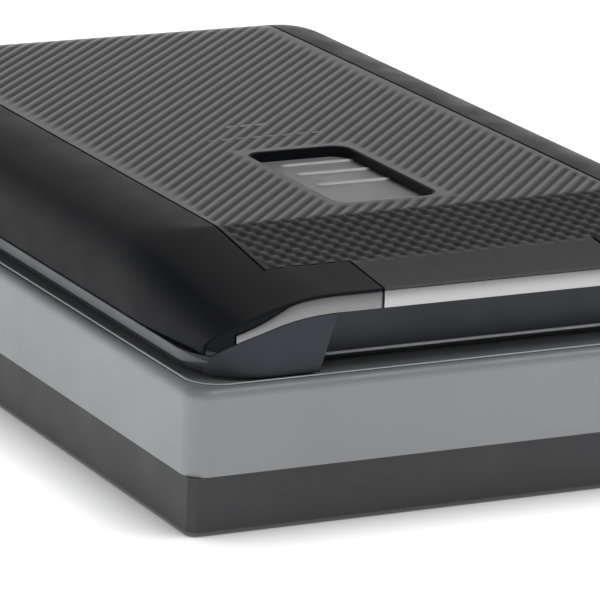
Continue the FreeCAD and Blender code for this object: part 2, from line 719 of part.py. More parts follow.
def electronics():
    board = block("main_board", ("board_left", "board_right"), ("board_front", "board_back"),
                  ("board_z + 0.02", "board_z + board_thick"))
    chips = [block(f"chip_{i}", (x, f"{x} + {w}"), (y, f"{y} + {d}"),
                   ("board_z + board_thick + 0.02", f"board_z + board_thick + {tall}"))
             for i, (x, y, w, d, tall) in enumerate((
                 ("board_left + 30", "board_front + 14", 22, 22, 2.4),
                 ("board_left + 66", "board_front + 16", 14, 10, 1.8),
                 ("board_left + 92", "board_front + 14", 10, 16, 2),
                 ("board_left + 66", "board_front + 34", 18, 6, 3.4)))]
    cans = [pole(f"capacitor_{i}", "z", 4, (f"board_right - {20 + 11 * i}", "board_front + 50",
                                            "board_z + board_thick + 0.02"), 11) for i in range(3)]
    ribbon = fuse("ribbon_cable",
                  block("ribbon_run", ("20", "44"), ("home_y - 20", "board_front - 3"), ("5.1", "5.5")),
                  block("ribbon_end", ("20", "44"), ("home_y - 20", "home_y - 19.6"),
                        ("5.1", "carriage_bottom - 0.1")),
                  block("ribbon_rise", ("20", "44"), ("board_front - 3.4", "board_front - 3"),
                        ("5.1", "board_z + 4")),
                  block("ribbon_tail", ("20", "44"), ("board_front - 3.4", "board_front + 4"),
                        ("board_z + 3.6", "board_z + 4")))
    return [board, group("board_parts", *chips, *cans), ribbon]


def rear_sockets():
    """The rear plate, with the data, power and lid light sockets and the power rocker."""
    face = "body_depth / 2 - 0.8"
    back = "body_depth / 2 - 0.8 - port_plate_thick"
    low = "board_z + board_thick + 0.1"
    blank = block("plate_face", ("ports_left + 0.1", "ports_right - 0.1"), (back, face),
                  ("ports_low + 0.1", "ports_high - 0.1"))
    usb = block("usb_window", ("usb_x - 6.1", "usb_x + 6.1"), (f"{back} - 1", f"{face} + 1"),
                (f"{low} - 0.1", f"{low} + 11.1"))
    jack = pole("jack_window", "y", 5.6, ("jack_x", f"{back} - 1", "38"), 5)
    light = pole("light_window", "y", 6.6, ("light_port_x", f"{back} - 1", "38.5"), 5)
    rocker = block("rocker_window", ("switch_x - 7.1", "switch_x + 7.1"), (f"{back} - 1", f"{face} + 1"),
                   ("32.9", "45.1"))
    plate = cut("plate_cut", blank, usb, jack, light, rocker)
    usb_socket = cut("usb_socket",
                     block("usb_shell", ("usb_x - 6", "usb_x + 6"), (f"{face} - 16", f"{face} + 0.3"),
                           (low, f"{low} + 11")),
                     block("usb_mouth", ("usb_x - 4.3", "usb_x + 4.3"), (f"{face} - 9", f"{face} + 1"),
                           (f"{low} + 1.5", f"{low} + 9.5")))
    power_jack = fuse("power_jack",
                      cut("jack_barrel",
                          fuse("jack_blank",
                               pole("jack_tube", "y", 5.5, ("jack_x", f"{face} - 10", "38"), 10.3),
                               block("jack_block", ("jack_x - 5.5", "jack_x + 5.5"),
                                     (f"{face} - 14", f"{face} - 4"), (low, "43.5"))),
                          pole("jack_hole", "y", 3.2, ("jack_x", f"{face} - 9", "38"), 12)),
                      pole("jack_pin", "y", 1, ("jack_x", f"{face} - 10", "38"), 9))
    light_socket = cut("lid_light_socket",
                       fuse("light_blank",
                            pole("light_tube", "y", 6.5, ("light_port_x", f"{face} - 8", "38.5"), 8.3),
                            block("light_block", ("light_port_x - 6.5", "light_port_x + 6.5"),
                                  (f"{face} - 14", f"{face} - 4"), (low, "45"))),
                       pole("light_hole", "y", 4.6, ("light_port_x", f"{face} - 7", "38.5"), 10))
    housing = cut("switch_housing",
                  block("housing_blank", ("switch_x - 7.1", "switch_x + 7.1"), (f"{face} - 13", face),
                        ("32.9", "45.1")),
                  block("housing_mouth", ("switch_x - 5.6", "switch_x + 5.6"),
                        (f"{face} - 9", f"{face} + 1"), ("34", "44")))
    rocker_cap = common("power_switch",
                        pole("rocker_drum", "x", 4.9, ("switch_x - 5.2", f"{face} - 4.5", "39"), 10.4),
                        block("rocker_trim", ("switch_x - 5.2", "switch_x + 5.2"),
                              (f"{face} - 8", f"{face} - 0.6"), ("34.5", "43.5")))
    return [fuse("port_plate", plate, housing), usb_socket, power_jack, light_socket, rocker_cap]


BUTTONS = ("scan_button", "copy_button", "send_button", "file_button")


def front_buttons():
    face = "-body_depth / 2 + panel_setback"
    back = "-body_depth / 2 + panel_setback + 2"
    blank = block("panel_face", ("panel_left + 0.1", "panel_right - 0.1"), (face, back),
                  ("panel_low + 0.1", "panel_high - 0.1"))
    made, windows = [], []
    for i, name in enumerate(BUTTONS):
        x = f"button_first + {i} * button_pitch"
        grown = "(button_width / 2 + button_gap)"
        windows.append(block(f"{name}_window", (f"{x} - {grown}", f"{x} + {grown}"),
                             (f"{face} - 1", f"{back} + 1"),
                             ("button_z - button_height / 2 - button_gap",
                              "button_z + button_height / 2 + button_gap")))
        cap = block(f"{name}_cap", (f"{x} - button_width / 2", f"{x} + button_width / 2"),
                    ("-body_depth / 2 + 0.1", f"{back} + 1"),
                    ("button_z - button_height / 2", "button_z + button_height / 2"))
        flange = block(f"{name}_flange", (f"{x} - button_width / 2 - 1", f"{x} + button_width / 2 + 1"),
                       (f"{back} + 0.1", f"{back} + 1.1"),
                       ("button_z - button_height / 2 - 1", "button_z + button_height / 2 + 1"))
        stem = pole(f"{name}_stem", "y", 1.5, (x, f"{back} + 1", "button_z"), 4)
        made.append(fuse(name, cap, flange, stem))
    panel = cut("button_panel", blank, *windows)
    board = block("switch_board_blank", ("panel_left + 2", "panel_right - 2"),
                  (f"{back} + 9.6", f"{back} + 11.2"), ("button_z - 8", "button_z + 8"))
    keys = [block(f"key_{i}", (f"button_first + {i} * button_pitch - 3",
                               f"button_first + {i} * button_pitch + 3"),
                  (f"{back} + 6.2", f"{back} + 9.7"), ("button_z - 3", "button_z + 3"))
            for i in range(len(BUTTONS))]
    return [panel, *made, fuse("switch_board", board, *keys)]


# Lid


def blend(low, high, share):
    return low + (high - low) * share


def lid_section(y, thick):
    """Half flat width, half width, height over the split, and curve power at a station y."""
    share = min(max((FOLD_Y - y) / (FOLD_Y + size("lid_front")), 0), 1)
    ease = share * (1.15 - 0.15 * share)
    top = blend(LID_TOP, LID_FRONT_TOP, ease)
    flat = blend(LID_FLAT_HALF, LID_FRONT_FLAT_HALF, share)
    half = blend(size("lid_half_width"), LID_FRONT_HALF_WIDTH, share ** 1.5)
    power = blend(FLANK_POWER, FRONT_POWER, share)
    return flat, half + SIDE_RUNOUT - thick, top - size("lid_split") - thick, power


def lid_stations(thick):
    """Each station's y and the share of the full height that it has."""
    front, back = size("lid_front"), size("lid_back") + SIDE_RUNOUT - thick
    stations = [(-front - 2 * FRONT_PITCH, 1.0), (-front - FRONT_PITCH, 1.0)]
    steps = round((FOLD_Y + front) / FRONT_PITCH)
    stations += [(blend(-front, FOLD_Y - 4 * CREASE, i / steps), 1.0) for i in range(steps + 1)]
    stations += [(FOLD_Y + CREASE * i, 1.0) for i in (-2, -1, 0, 1, 2, 5)]
    steps = round((BACK_FLAT_Y - FOLD_Y) / (2 * FRONT_PITCH))
    stations += [(blend(FOLD_Y, BACK_FLAT_Y, i / steps), 1.0) for i in range(1, steps + 1)]
    for i in range(1, ARC_STEPS + 1):
        angle = math.pi / 2 * i / ARC_STEPS
        y = blend(BACK_FLAT_Y, back, math.sin(angle) ** (2 / BACK_POWER))
        stations.append((y, max(math.cos(angle), 0) ** (2 / BACK_POWER)))
    return stations


def lid_solid(thick, inset, lowered=0.0):
    """The lid's outer form, or the form a wall's thickness inside it."""
    rows = []
    for y, share in lid_stations(thick):
        flat, half, height, power = lid_section(y, thick)
        row = []
        for i in range(ARC_STEPS + 1):
            angle = math.pi / 2 * i / ARC_STEPS
            x = flat + (half - flat) * math.cos(angle) ** (2 / power)
            z = height * share * max(math.sin(angle), 0) ** (2 / power)
            row.append((x, z))
        middle = [(flat * i / 4, height * share) for i in range(3, -1, -1)]
        right = row + middle
        both = [(-x, z) for x, z in right] + [(x, z) for x, z in reversed(right[:-1])]
        rows.append([Vector(x, y, size("lid_split") + z - lowered) for x, z in both])
    surface = Part.BSplineSurface()
    surface.interpolate(rows)
    deep = surface.toShape().extrude(Vector(0, 0, -60))
    return deep.common(plan_prism(inset, size("lid_bottom"), LID_TOP + 5))


def plan_prism(inset, low, high):
    """A prism with the lid's outline from above, a rectangle with round corners."""
    half, front = size("lid_half_width") - inset, size("lid_front") - inset
    back = size("lid_back") - inset
    radius = size("lid_corner") - inset
    rear = size("lid_rear_corner") - inset
    prism = Part.makeBox(2 * half, front + back, high - low, Vector(-half, -front, low))
    fronts = [e for e in prism.Edges if upright(e) and e.BoundBox.YMax < 0]
    prism = prism.makeFillet(radius, fronts)
    backs = [e for e in prism.Edges if upright(e) and e.BoundBox.YMin > back - 1]
    return prism.makeFillet(rear, backs)


def slab(x, y, z):
    """A plain box from three pairs of limits."""
    return Part.makeBox(x[1] - x[0], y[1] - y[0], z[1] - z[0], Vector(x[0], y[0], z[0]))


def cover_outline(gap, back_gap, corner):
    """The cover's outline from above: a wide panel with a narrower lip at the front."""
    half, neck = size("cover_half_width") - gap, size("trim_split") - gap
    back = size("cover_back") - back_gap
    front, neck_y = -size("lid_front") - 5, size("cover_neck_y") + gap
    wide = Part.makeBox(2 * half, back - neck_y, 100, Vector(-half, neck_y, 20))
    corners = [e for e in wide.Edges if upright(e) and e.BoundBox.YMin > back - 1]
    wide = wide.makeFillet(corner, corners)
    return wide.fuse(Part.makeBox(2 * neck, neck_y - front + 5, 100, Vector(-neck, front, 20)))


def lid_pieces():
    split, skin = size("shell_low"), size("skin")
    outer, inner = lid_solid(0, 0), lid_solid(skin, skin)
    high = LID_TOP + 5
    half, front, back = size("lid_half_width") + 3, size("lid_front"), size("lid_back")
    nose_y = -front + 14
    nose = slab((-half, half), (-front - 1, nose_y), (60, high))
    under = outer.translated(Vector(0, 0, -size("trim_drop")))
    above = slab((-half, half), (-front - 3, back + 3), (split, high))
    shell = outer.cut(inner).common(above).cut(under.common(nose))
    knuckle = size("knuckle_width") / 2 + 10
    notches = [slab((sign * size("hinge_x") - knuckle, sign * size("hinge_x") + knuckle),
                    (size("hinge_y") - 8, back + 1), (60, size("hinge_z") + 9)) for sign in (-1, 1)]
    upper = shell.cut(cover_outline(0, 0, OPENING_CORNER)).cut(notches)
    pieces = [feature("lid_upper_shell", upper.removeSplitter())]
    cover = shell.common(cover_outline(size("seam"), size("back_seam"), COVER_CORNER))
    pieces.append(storage_cover(cover))
    trim_low = outer.translated(Vector(0, 0, -size("trim_drop") - 0.1 - size("trim_height")))
    trim_high = outer.translated(Vector(0, 0, -size("trim_drop") - 0.1))
    thick = size("trim_thick")
    ring = plan_prism(0, 60, high).cut(plan_prism(thick, 60, high)).common(nose)
    band = ring.common(trim_high).cut(trim_low.common(ring))
    split_x, tip_x = size("trim_split"), size("trim_tip")
    ends = band.cut(taper_wedges(0, -front - 1, nose_y, 60, high))
    for name, low, top in (("trim_strip_left", -tip_x, -split_x), ("trim_strip_right", split_x, tip_x)):
        pieces.append(feature(name, ends.common(slab((low, top), (-front - 1, 0), (60, high)))))
    middle = slab((size("seam") - split_x, split_x - size("seam")), (-front - 1, 0), (60, high))
    pieces.append(feature("cover_trim_strip", band.common(middle)))
    pieces.append(lid_lower_frame(outer, nose_y, notches))
    return pieces


def taper_wedges(gap, front, back, low, high):
    """The space above and beyond the trim's two ends, which slope down to blunt tips."""
    x, z = size("taper_x") + gap, size("taper_z")
    tip_x, tip_z = size("trim_tip") + gap, size("trim_tip_z")
    slope = (tip_x - x) / (z - tip_z)
    far = size("lid_half_width") + 10
    wedges = []
    for sign in (-1, 1):
        outline = [(x - (high - z) * slope, high), (tip_x, tip_z), (tip_x, low), (far, low),
                   (far, high)]
        corners = [Vector(sign * px, front, pz) for px, pz in outline]
        face = Part.Face(Part.makePolygon([*corners, corners[0]]))
        wedges.append(face.extrude(Vector(0, back - front, 0)))
    return wedges[0].fuse(wedges[1])


def front_cheeks(outer, nose_y):
    """The solid front corners below the trim, which close up to the brow beyond its tips."""
    half, front = size("lid_half_width") + 3, size("lid_front")
    low, high = size("lid_bottom"), LID_TOP + 5
    drop = size("trim_drop") + size("trim_height") + 0.3
    nose = slab((-half, half), (-front - 1, nose_y), (low, high))
    cheeks = outer.translated(Vector(0, 0, -drop)).common(nose)
    corners = taper_wedges(FILL_GAP, -front - 1, nose_y, low, high)
    fill = outer.translated(Vector(0, 0, -size("trim_drop") - FILL_GAP)).common(corners)
    fill = fill.common(plan_prism(FILL_SETBACK, low, high))
    return cheeks.common(plan_prism(0, low, high)).fuse(fill)


def finger_gap(front, back, low, high):
    """The gap for the fingers under the trim, wider at the bottom than at the top."""
    narrow = size("gap_half_width")
    wide = narrow + size("gap_flare")
    shoulder = LID_FRONT_TOP - size("trim_drop") - size("trim_height")
    outline = [(-wide, low - 1), (wide, low - 1), (narrow, shoulder), (narrow, high),
               (-narrow, high), (-narrow, shoulder)]
    corners = [Vector(x, front, z) for x, z in outline]
    face = Part.Face(Part.makePolygon([*corners, corners[0]]))
    return face.extrude(Vector(0, back - front, 0))


def lid_lower_frame(outer, nose_y, notches):
    """The lower half of the lid: floor, bead round the edge, cheeks and the recessed front."""
    half, front, back = size("lid_half_width") + 3, size("lid_front"), size("lid_back")
    low, bead, split = size("lid_bottom"), size("bead_bottom"), size("lid_split")
    high = LID_TOP + 5
    floor = size("lid_floor_high")
    rim = plan_prism(0, bead, split).fuse(plan_prism(2, low, bead))
    cheeks = front_cheeks(outer, nose_y)
    gap_x, gap_y = size("gap_half_width"), -size("gap_depth")
    wall_x = gap_x + size("gap_flare") + 3
    wall = slab((-wall_x, wall_x), (gap_y, gap_y + 3), (low, LID_FRONT_TOP - 7))
    frame = rim.fuse([cheeks, wall])
    hollow = plan_prism(4.5, floor, split + 1)
    hollow = hollow.cut(slab((-gap_x - 3, gap_x + 3), (-front, gap_y + 3), (low, high)))
    hollow = hollow.cut(slab((-half, -gap_x), (-front, nose_y), (low, high)))
    hollow = hollow.cut(slab((gap_x, half), (-front, nose_y), (low, high)))
    frame = frame.cut(hollow)
    frame = frame.cut(finger_gap(-front - 1, gap_y, low, high))
    frame = frame.cut(slab((-half, half), (gap_y + 4, back - 4), (low - 1, size("lid_floor_low")))
                      .common(plan_prism(5, low - 1, high)))
    light_x = size("light_half_width")
    window = slab((-light_x, light_x), (size("light_front"), size("light_back")), (low - 1, floor + 1))
    frame = frame.cut(window)
    frame = frame.cut(notches).fuse(cover_cradles())
    return feature("lid_lower_frame", frame.removeSplitter())


def cover_cradles():
    """Upright ears on the lid's floor, two for each of the cover's hinge barrels."""
    y, z, thick = size("cover_hinge_y"), size("cover_hinge_z"), 3.0
    made = []
    for middle in (-COVER_EAR_X, COVER_EAR_X):
        for low in (middle - 6 - thick, middle + 6):
            ear = slab((low, low + thick), (y - 4, y + 4), (size("lid_floor_high") - 0.5, z))
            ear = ear.fuse(Part.makeCylinder(4, thick, Vector(low, y, z), Vector(1, 0, 0)))
            bore = Part.makeCylinder(1.52, thick + 2, Vector(low - 1, y, z), Vector(1, 0, 0))
            made.append(ear.cut(bore))
    return made


def storage_cover(skin_piece):
    """The hinged panel of the lid's top, with a hole for the finger well and two hinge ears."""
    x, y = size("well_x"), size("well_y")
    width, length = size("well_width"), size("well_length")
    hole = Part.makeBox(width, length, 40, Vector(x - width / 2, y - length / 2, 80))
    hole = hole.makeFillet(size("well_corner"), [e for e in hole.Edges if upright(e)])
    panel = skin_piece.cut(hole)
    hinge_y, hinge_z = size("cover_hinge_y"), size("cover_hinge_z")
    for sign in (-1, 1):
        start = sign * COVER_EAR_X - 5
        ear = slab((start, start + 10), (hinge_y - 4, hinge_y + 4), (hinge_z, LID_TOP - 2))
        barrel = Part.makeCylinder(4, 10, Vector(start, hinge_y, hinge_z), Vector(1, 0, 0))
        bore = Part.makeCylinder(1.55, 12, Vector(start - 1, hinge_y, hinge_z), Vector(1, 0, 0))
        panel = panel.fuse(ear.fuse(barrel)).cut(bore)
    return feature("storage_cover", panel.removeSplitter())


def finger_pad():
    """The floor of the finger well: a flanged cup with three raised ribs."""
    body = new_body("finger_pad")
    lip = sketch_on(body, "pad_cup", x="well_x", y="well_y", z="well_floor - 2")
    rounded_rectangle(lip, "well_width - 0.2", "well_length - 0.2", "well_corner - 0.1")
    pad(body, lip, "2")
    for i, y in enumerate(("38", "21", "1")):
        rib = sketch_on(body, f"pad_rib_{i}", x="well_x + 7", y=f"well_y + {y}", z="well_floor - 0.5")
        rounded_rectangle(rib, "38", "2.2", "1.05")
        pad(body, rib, "1.5")
    return body


def lid_fittings():
    """What the lid carries: light panel and lamp, document mat, bumpers and hinge parts."""
    panel = block("light_panel", ("0.5 - light_half_width", "light_half_width - 0.5"),
                  ("light_front + 0.5", "light_back - 0.5"),
                  ("lid_floor_low + 0.05", "lid_floor_high - 0.1"))
    lamp = pole("lid_lamp", "x", 2, ("-60", "-30", "lid_floor_high + 1.95"), 120)
    mat = block("document_mat", ("-112", "112"), ("bed_y - 158", "bed_y + 158"),
                ("deck_top + bezel_thick + 0.3", "lid_floor_low - 0.02"))
    bumpers = [pole(f"bumper_{i}", "z", 3, (x, y, "deck_top + 0.1"), "lid_floor_low - deck_top - 0.12")
               for i, (x, y) in enumerate((x, y) for x in ("-128", "128") for y in ("-205", "195"))]
    brackets, pins = [], []
    for side, x in SOCKETS.items():
        ears = []
        for end, sign in (("inner", "-"), ("outer", "+")):
            middle = f"{x} {sign} (knuckle_width / 2 + 2.6)"
            ear = fuse(f"ear_{side}_{end}",
                       block(f"ear_plate_{side}_{end}", (f"{middle} - 2", f"{middle} + 2"),
                             ("hinge_y - 20", "hinge_y"), ("lid_floor_high + 0.02", "hinge_z + 4")),
                       pole(f"ear_eye_{side}_{end}", "x", 5.5, (f"{middle} - 2", "hinge_y", "hinge_z"), 4))
            bore = pole(f"ear_bore_{side}_{end}", "x", "hinge_pin_radius + 0.02",
                        (f"{middle} - 3", "hinge_y", "hinge_z"), 6)
            ears.append(cut(f"ear_bored_{side}_{end}", ear, bore))
        bridge = block(f"ear_bridge_{side}", (f"{x} - knuckle_width / 2 - 2.6",
                                              f"{x} + knuckle_width / 2 + 2.6"),
                       ("hinge_y - 20", "hinge_y - 12"), ("lid_floor_high + 0.02", "lid_floor_high + 3"))
        brackets.append(fuse(f"bracket_{side}", *ears, bridge))
        pins.append(pole(f"pin_{side}", "x", "hinge_pin_radius",
                         (f"{x} - knuckle_width / 2 - 5", "hinge_y", "hinge_z"), "knuckle_width + 10"))
    cover_pins = [pole(f"cover_pin_{i}", "x", 1.5, (f"{start} - 4", "cover_hinge_y", "cover_hinge_z"), 18)
                  for i, start in enumerate(("-75", "65"))]
    return [panel, lamp, mat, group("lid_bumpers", *bumpers), group("hinge_brackets", *brackets),
            group("hinge_pins", *pins), group("cover_pins", *cover_pins)]


def hinge_posts():
    """The two posts that carry the lid and slide up in sleeves under the deck."""
    made, sleeves = [], []
    for side, x in SOCKETS.items():
        blade = block(f"post_blade_{side}", (f"{x} - post_width / 2", f"{x} + post_width / 2"),
                      ("hinge_y - post_thick / 2", "hinge_y + post_thick / 2"),
                      ("post_bottom", "deck_top - 0.5"))
        neck = block(f"post_neck_{side}", (f"{x} - knuckle_width / 2", f"{x} + knuckle_width / 2"),
                     ("hinge_y - post_thick / 2", "hinge_y + post_thick / 2"),
                     ("deck_top - 1", "hinge_z"))
        eye = pole(f"post_eye_{side}", "x", "knuckle_radius",
                   (f"{x} - knuckle_width / 2", "hinge_y", "hinge_z"), "knuckle_width")
        bore = pole(f"post_bore_{side}", "x", "hinge_pin_radius + running_fit",
                    (f"{x} - knuckle_width / 2 - 1", "hinge_y", "hinge_z"), "knuckle_width + 2")
        made.append(cut(f"hinge_post_{side}", fuse(f"post_{side}", blade, neck, eye), bore))
        sleeve = cut(f"sleeve_{side}",
                     block(f"sleeve_blank_{side}", (f"{x} - post_width / 2 - 2.5",
                                                    f"{x} + post_width / 2 + 2.5"),
                           ("hinge_y - post_thick / 2 - 2.5", "hinge_y + post_thick / 2 + 2.5"),
                           ("post_bottom - 6", "deck_bottom - 0.02")),
                     block(f"sleeve_bore_{side}", (f"{x} - post_width / 2 - slide_fit",
                                                   f"{x} + post_width / 2 + slide_fit"),
                           ("hinge_y - post_thick / 2 - slide_fit",
                            "hinge_y + post_thick / 2 + slide_fit"),
                           ("post_bottom - 2", "deck_top")))
        sleeves.append(sleeve)
    return [*made, group("hinge_sleeves", *sleeves)]


def check(parts):
    """Stops before anything is written if an object failed or a shape is unsound."""
    failed = [thing.Name for thing in DOC.Objects
              if {"Invalid", "Error"} & set(thing.State)]
    unsound = [part.Label for part in parts
               if part.Shape.isNull() or not part.Shape.isValid() or part.Shape.Volume <= 0]
    if failed or unsound:
        raise RuntimeError(f"failed objects {failed}, unsound shapes {unsound}")


def main():
    parts = [base_tray(), base_cover(), *platen(), *feet_and_screws(), *guides()]
    parts += [*carriage(), *optics(), *drive_train(), *drive_mounts()]
    parts += [*electronics(), *rear_sockets(), *front_buttons()]
    parts += [*lid_pieces(), finger_pad(), *lid_fittings(), *hinge_posts()]
    DOC.recompute()
    check(parts)
    os.makedirs("parts", exist_ok=True)
    for part in parts:
        part.Shape.exportStep(f"parts/{part.Label}.step")
        print(part.Label, len(part.Shape.Solids), round(part.Shape.Volume))
    print(len(parts), "sub-parts")


main()
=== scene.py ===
"""Looks of a flatbed scanner with a thick lid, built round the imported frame.

Lengths here are in millimetres and become metres in as_object(); the frame is +X to the
user's right, +Y from front to back, +Z up, with the feet on z = 0.
"""

import json
import math

import bpy
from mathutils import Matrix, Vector

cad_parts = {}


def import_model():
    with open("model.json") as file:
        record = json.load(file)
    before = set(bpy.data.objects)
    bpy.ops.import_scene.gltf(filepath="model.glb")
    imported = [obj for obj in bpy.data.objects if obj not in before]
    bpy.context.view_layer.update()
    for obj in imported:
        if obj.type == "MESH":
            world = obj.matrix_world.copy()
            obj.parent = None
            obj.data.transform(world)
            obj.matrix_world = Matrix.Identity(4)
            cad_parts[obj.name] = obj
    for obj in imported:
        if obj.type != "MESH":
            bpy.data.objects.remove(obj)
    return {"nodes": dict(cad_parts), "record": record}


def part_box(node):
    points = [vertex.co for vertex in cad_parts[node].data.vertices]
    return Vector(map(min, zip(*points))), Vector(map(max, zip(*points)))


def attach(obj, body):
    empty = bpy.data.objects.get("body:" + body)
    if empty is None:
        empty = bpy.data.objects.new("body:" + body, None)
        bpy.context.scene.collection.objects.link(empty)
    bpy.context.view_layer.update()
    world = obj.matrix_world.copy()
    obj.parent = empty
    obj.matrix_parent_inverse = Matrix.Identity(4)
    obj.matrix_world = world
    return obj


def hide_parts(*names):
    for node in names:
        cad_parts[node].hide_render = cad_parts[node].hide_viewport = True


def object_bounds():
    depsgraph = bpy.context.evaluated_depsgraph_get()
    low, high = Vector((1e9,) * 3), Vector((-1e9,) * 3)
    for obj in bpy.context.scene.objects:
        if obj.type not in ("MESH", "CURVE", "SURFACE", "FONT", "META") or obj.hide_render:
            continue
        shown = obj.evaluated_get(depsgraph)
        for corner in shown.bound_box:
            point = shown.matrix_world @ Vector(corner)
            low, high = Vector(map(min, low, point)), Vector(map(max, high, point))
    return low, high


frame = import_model()
CAD_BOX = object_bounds()
MM = 0.001


# Sizes read from the frame, in millimetres


def corners(node):
    low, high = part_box(node)
    return low / MM, high / MM


frame_low, frame_high = corners("lid_lower_frame")

LID_HALF = frame_high.x
LID_FRONT = frame_low.y
LID_BACK = frame_high.y
SPLIT_Z = corners("lid_upper_shell")[0].z
SKIN = 2.5
FRONT_CORNER, REAR_CORNER = 31, 24

# How far the form overruns the lid's sides and back, before the outline in plan cuts it.
FORM_OVERRUN = 0.6

# The lid's form: a flat top with rounded flanks that falls towards the front from a crease.
FORM_BASE = 72
TOP_Z, FRONT_TOP_Z = 108, 97.6
FOLD_Y = -162.6
CREASE_SOFT = 0.4
TOP_EASE = 0.15
FLAT_HALF, FRONT_FLAT_HALF = 100, 80
FULL_HALF, FRONT_FULL_HALF = LID_HALF + FORM_OVERRUN, LID_HALF - 6.4
FLANK_POWER, FRONT_POWER = 2.4, 2.0
REAR_START, REAR_POWER = 186, 2.2

# The storage cover: a wide panel with a narrower lip at the front, and a finger well.
COVER_HALF, COVER_BACK = 100, 207.4
LIP_HALF, NECK_Y = 60, -213
SEAM = 1.4
REAR_SEAM = 1.8
OPENING_CORNER, COVER_CORNER = 4, 6
WELL = dict(x=-6, y=-97, half_x=26, half_y=49, corner=9)

# The trim round the lid's front.
TRIM_DROP, TRIM_HEIGHT, TRIM_THICK = 1.0, 7.6, 1.6
TRIM_TIP, TRIM_TIP_Z = 125.4, 82.4
TAPER_X, TAPER_Z = 101, 94.7
NOSE_Y = LID_FRONT + 14
BEAD_Z = 69.5
FILL_LOW = 74
GAP_HALF, GAP_Y = 84, -228.4


def mix(low, high, share):
    return low + (high - low) * share


def clamp(value, low=0.0, high=1.0):
    return max(low, min(high, value))


def smooth_step(value, low, high):
    share = clamp((value - low) / (high - low))
    return share * share * (3 - 2 * share)


def past_fold(y, soft):
    """How far y lies in front of the crease, eased in over soft either side of it."""
    ahead = FOLD_Y - y
    if abs(ahead) < soft:
        return (ahead + soft) ** 2 / (4 * soft)
    return max(0.0, ahead)


def section(y, thick=0.0, soft=CREASE_SOFT):
    """Top height, half flat width, half full width and flank power of the lid's form at y."""
    share = clamp(past_fold(y, soft) / (FOLD_Y - LID_FRONT))
    ease = share * (1 + TOP_EASE - TOP_EASE * share)
    top = mix(TOP_Z, FRONT_TOP_Z, ease) - thick
    flat = mix(FLAT_HALF, FRONT_FLAT_HALF, share)
    full = mix(FULL_HALF, FRONT_FULL_HALF, share ** 1.5) - thick
    return top, flat, full, mix(FLANK_POWER, FRONT_POWER, share)


def rear_share(y, thick=0.0):
    """How much of its height the form keeps at y, as it rounds down to the back."""
    reach = clamp((y - REAR_START) / (LID_BACK + FORM_OVERRUN - thick - REAR_START))
    angle = math.asin(reach ** (REAR_POWER / 2))
    return math.cos(angle) ** (2 / REAR_POWER)


def form_z(x, y, thick=0.0):
    top, flat, full, power = section(y, thick)
    out = clamp((abs(x) - flat) / (full - flat))
    height = (top - FORM_BASE) * (1 - out ** power) ** (1 / power)
    return FORM_BASE + height * rear_share(y, thick)


# Mesh tools


def as_object(name, points, faces):
    mesh = bpy.data.meshes.new(name)
    mesh.from_pydata([Vector(p) * MM for p in points], [], faces)
    mesh.validate()
    result = bpy.data.objects.new(name, mesh)
    bpy.context.scene.collection.objects.link(result)
    mesh.shade_smooth()
    return result


def loft(name, rings):
    """A closed solid through rings of equal length, with a face over each end."""
    count = len(rings[0])
    points = [p for ring in rings for p in ring]
    faces = [tuple(range(count))[::-1], tuple(range(len(points) - count, len(points)))]
    for row in range(len(rings) - 1):
        for i in range(count):
            a, b = row * count + i, row * count + (i + 1) % count
            faces.append((a, b, b + count, a + count))
    return as_object(name, points, faces)


def prism(name, outline, low, high):
    """An outline in plan, given anticlockwise, made into an upright solid."""
    return loft(name, [[(x, y, z) for x, y in outline] for z in (low, high)])


def block(name, xs, ys, zs):
    outline = [(xs[0], ys[0]), (xs[1], ys[0]), (xs[1], ys[1]), (xs[0], ys[1])]
    return prism(name, outline, *zs)


def rod(name, x, y, z, radius, length, steps=32):
    """A round bar along X."""
    rings = []
    for end in (x, x + length):
        turns = [2 * math.pi * i / steps for i in range(steps)]
        rings.append([(end, y + radius * math.cos(t), z + radius * math.sin(t)) for t in turns])
    return loft(name, rings)


BAR_END_POWER, BAR_END_SIZE = 14, 0.02


def bead_bar(name, x, y, z, length, width, height):
    """A low bar along X with a rounded top and ends that slope down."""
    rings = []
    for i in range(33):
        share = 2 * i / 32 - 1
        swell = math.sqrt(max(0.0, 1 - abs(share) ** BAR_END_POWER)) + BAR_END_SIZE
        ring = []
        for j in range(13):
            turn = math.pi * j / 12
            ring.append((x + share * length / 2, y + width / 2 * math.cos(turn) * swell,
                         z + height * math.sin(turn) * swell))
        rings.append(ring)
    return loft(name, rings)


def rounded_outline(xs, ys, front, rear, steps=14):
    """A rectangle in plan with its own corner radius at the front and at the rear."""
    centres = [(xs[1] - front, ys[0] + front, front, -90), (xs[1] - rear, ys[1] - rear, rear, 0),
               (xs[0] + rear, ys[1] - rear, rear, 90), (xs[0] + front, ys[0] + front, front, 180)]
    outline = []
    for x, y, radius, start in centres:
        for i in range(steps + 1 if radius else 1):
            angle = math.radians(start + 90 * i / steps)
            outline.append((x + radius * math.cos(angle), y + radius * math.sin(angle)))
    return outline


def carve(base, tool, how):
    """Boolean of two closed meshes; the tool is used up."""
    modifier = base.modifiers.new("carve", "BOOLEAN")
    modifier.operation, modifier.object, modifier.solver = how, tool, "MANIFOLD"
    modifier.use_self = False
    evaluated = base.evaluated_get(bpy.context.evaluated_depsgraph_get())
    mesh = bpy.data.meshes.new_from_object(evaluated)
    base.modifiers.clear()
    base.data = mesh
    bpy.data.objects.remove(tool)
    return base


def keep(base, tool):
    return carve(base, tool, "INTERSECT")


def remove(base, tool):
    return carve(base, tool, "DIFFERENCE")


def join(base, tool):
    return carve(base, tool, "UNION")


def soften(piece, angle=32):
    """Smooth shading that stays crisp at edges sharper than the angle."""
    piece.data.shade_smooth()
    piece.data.set_sharp_from_angle(angle=math.radians(angle))


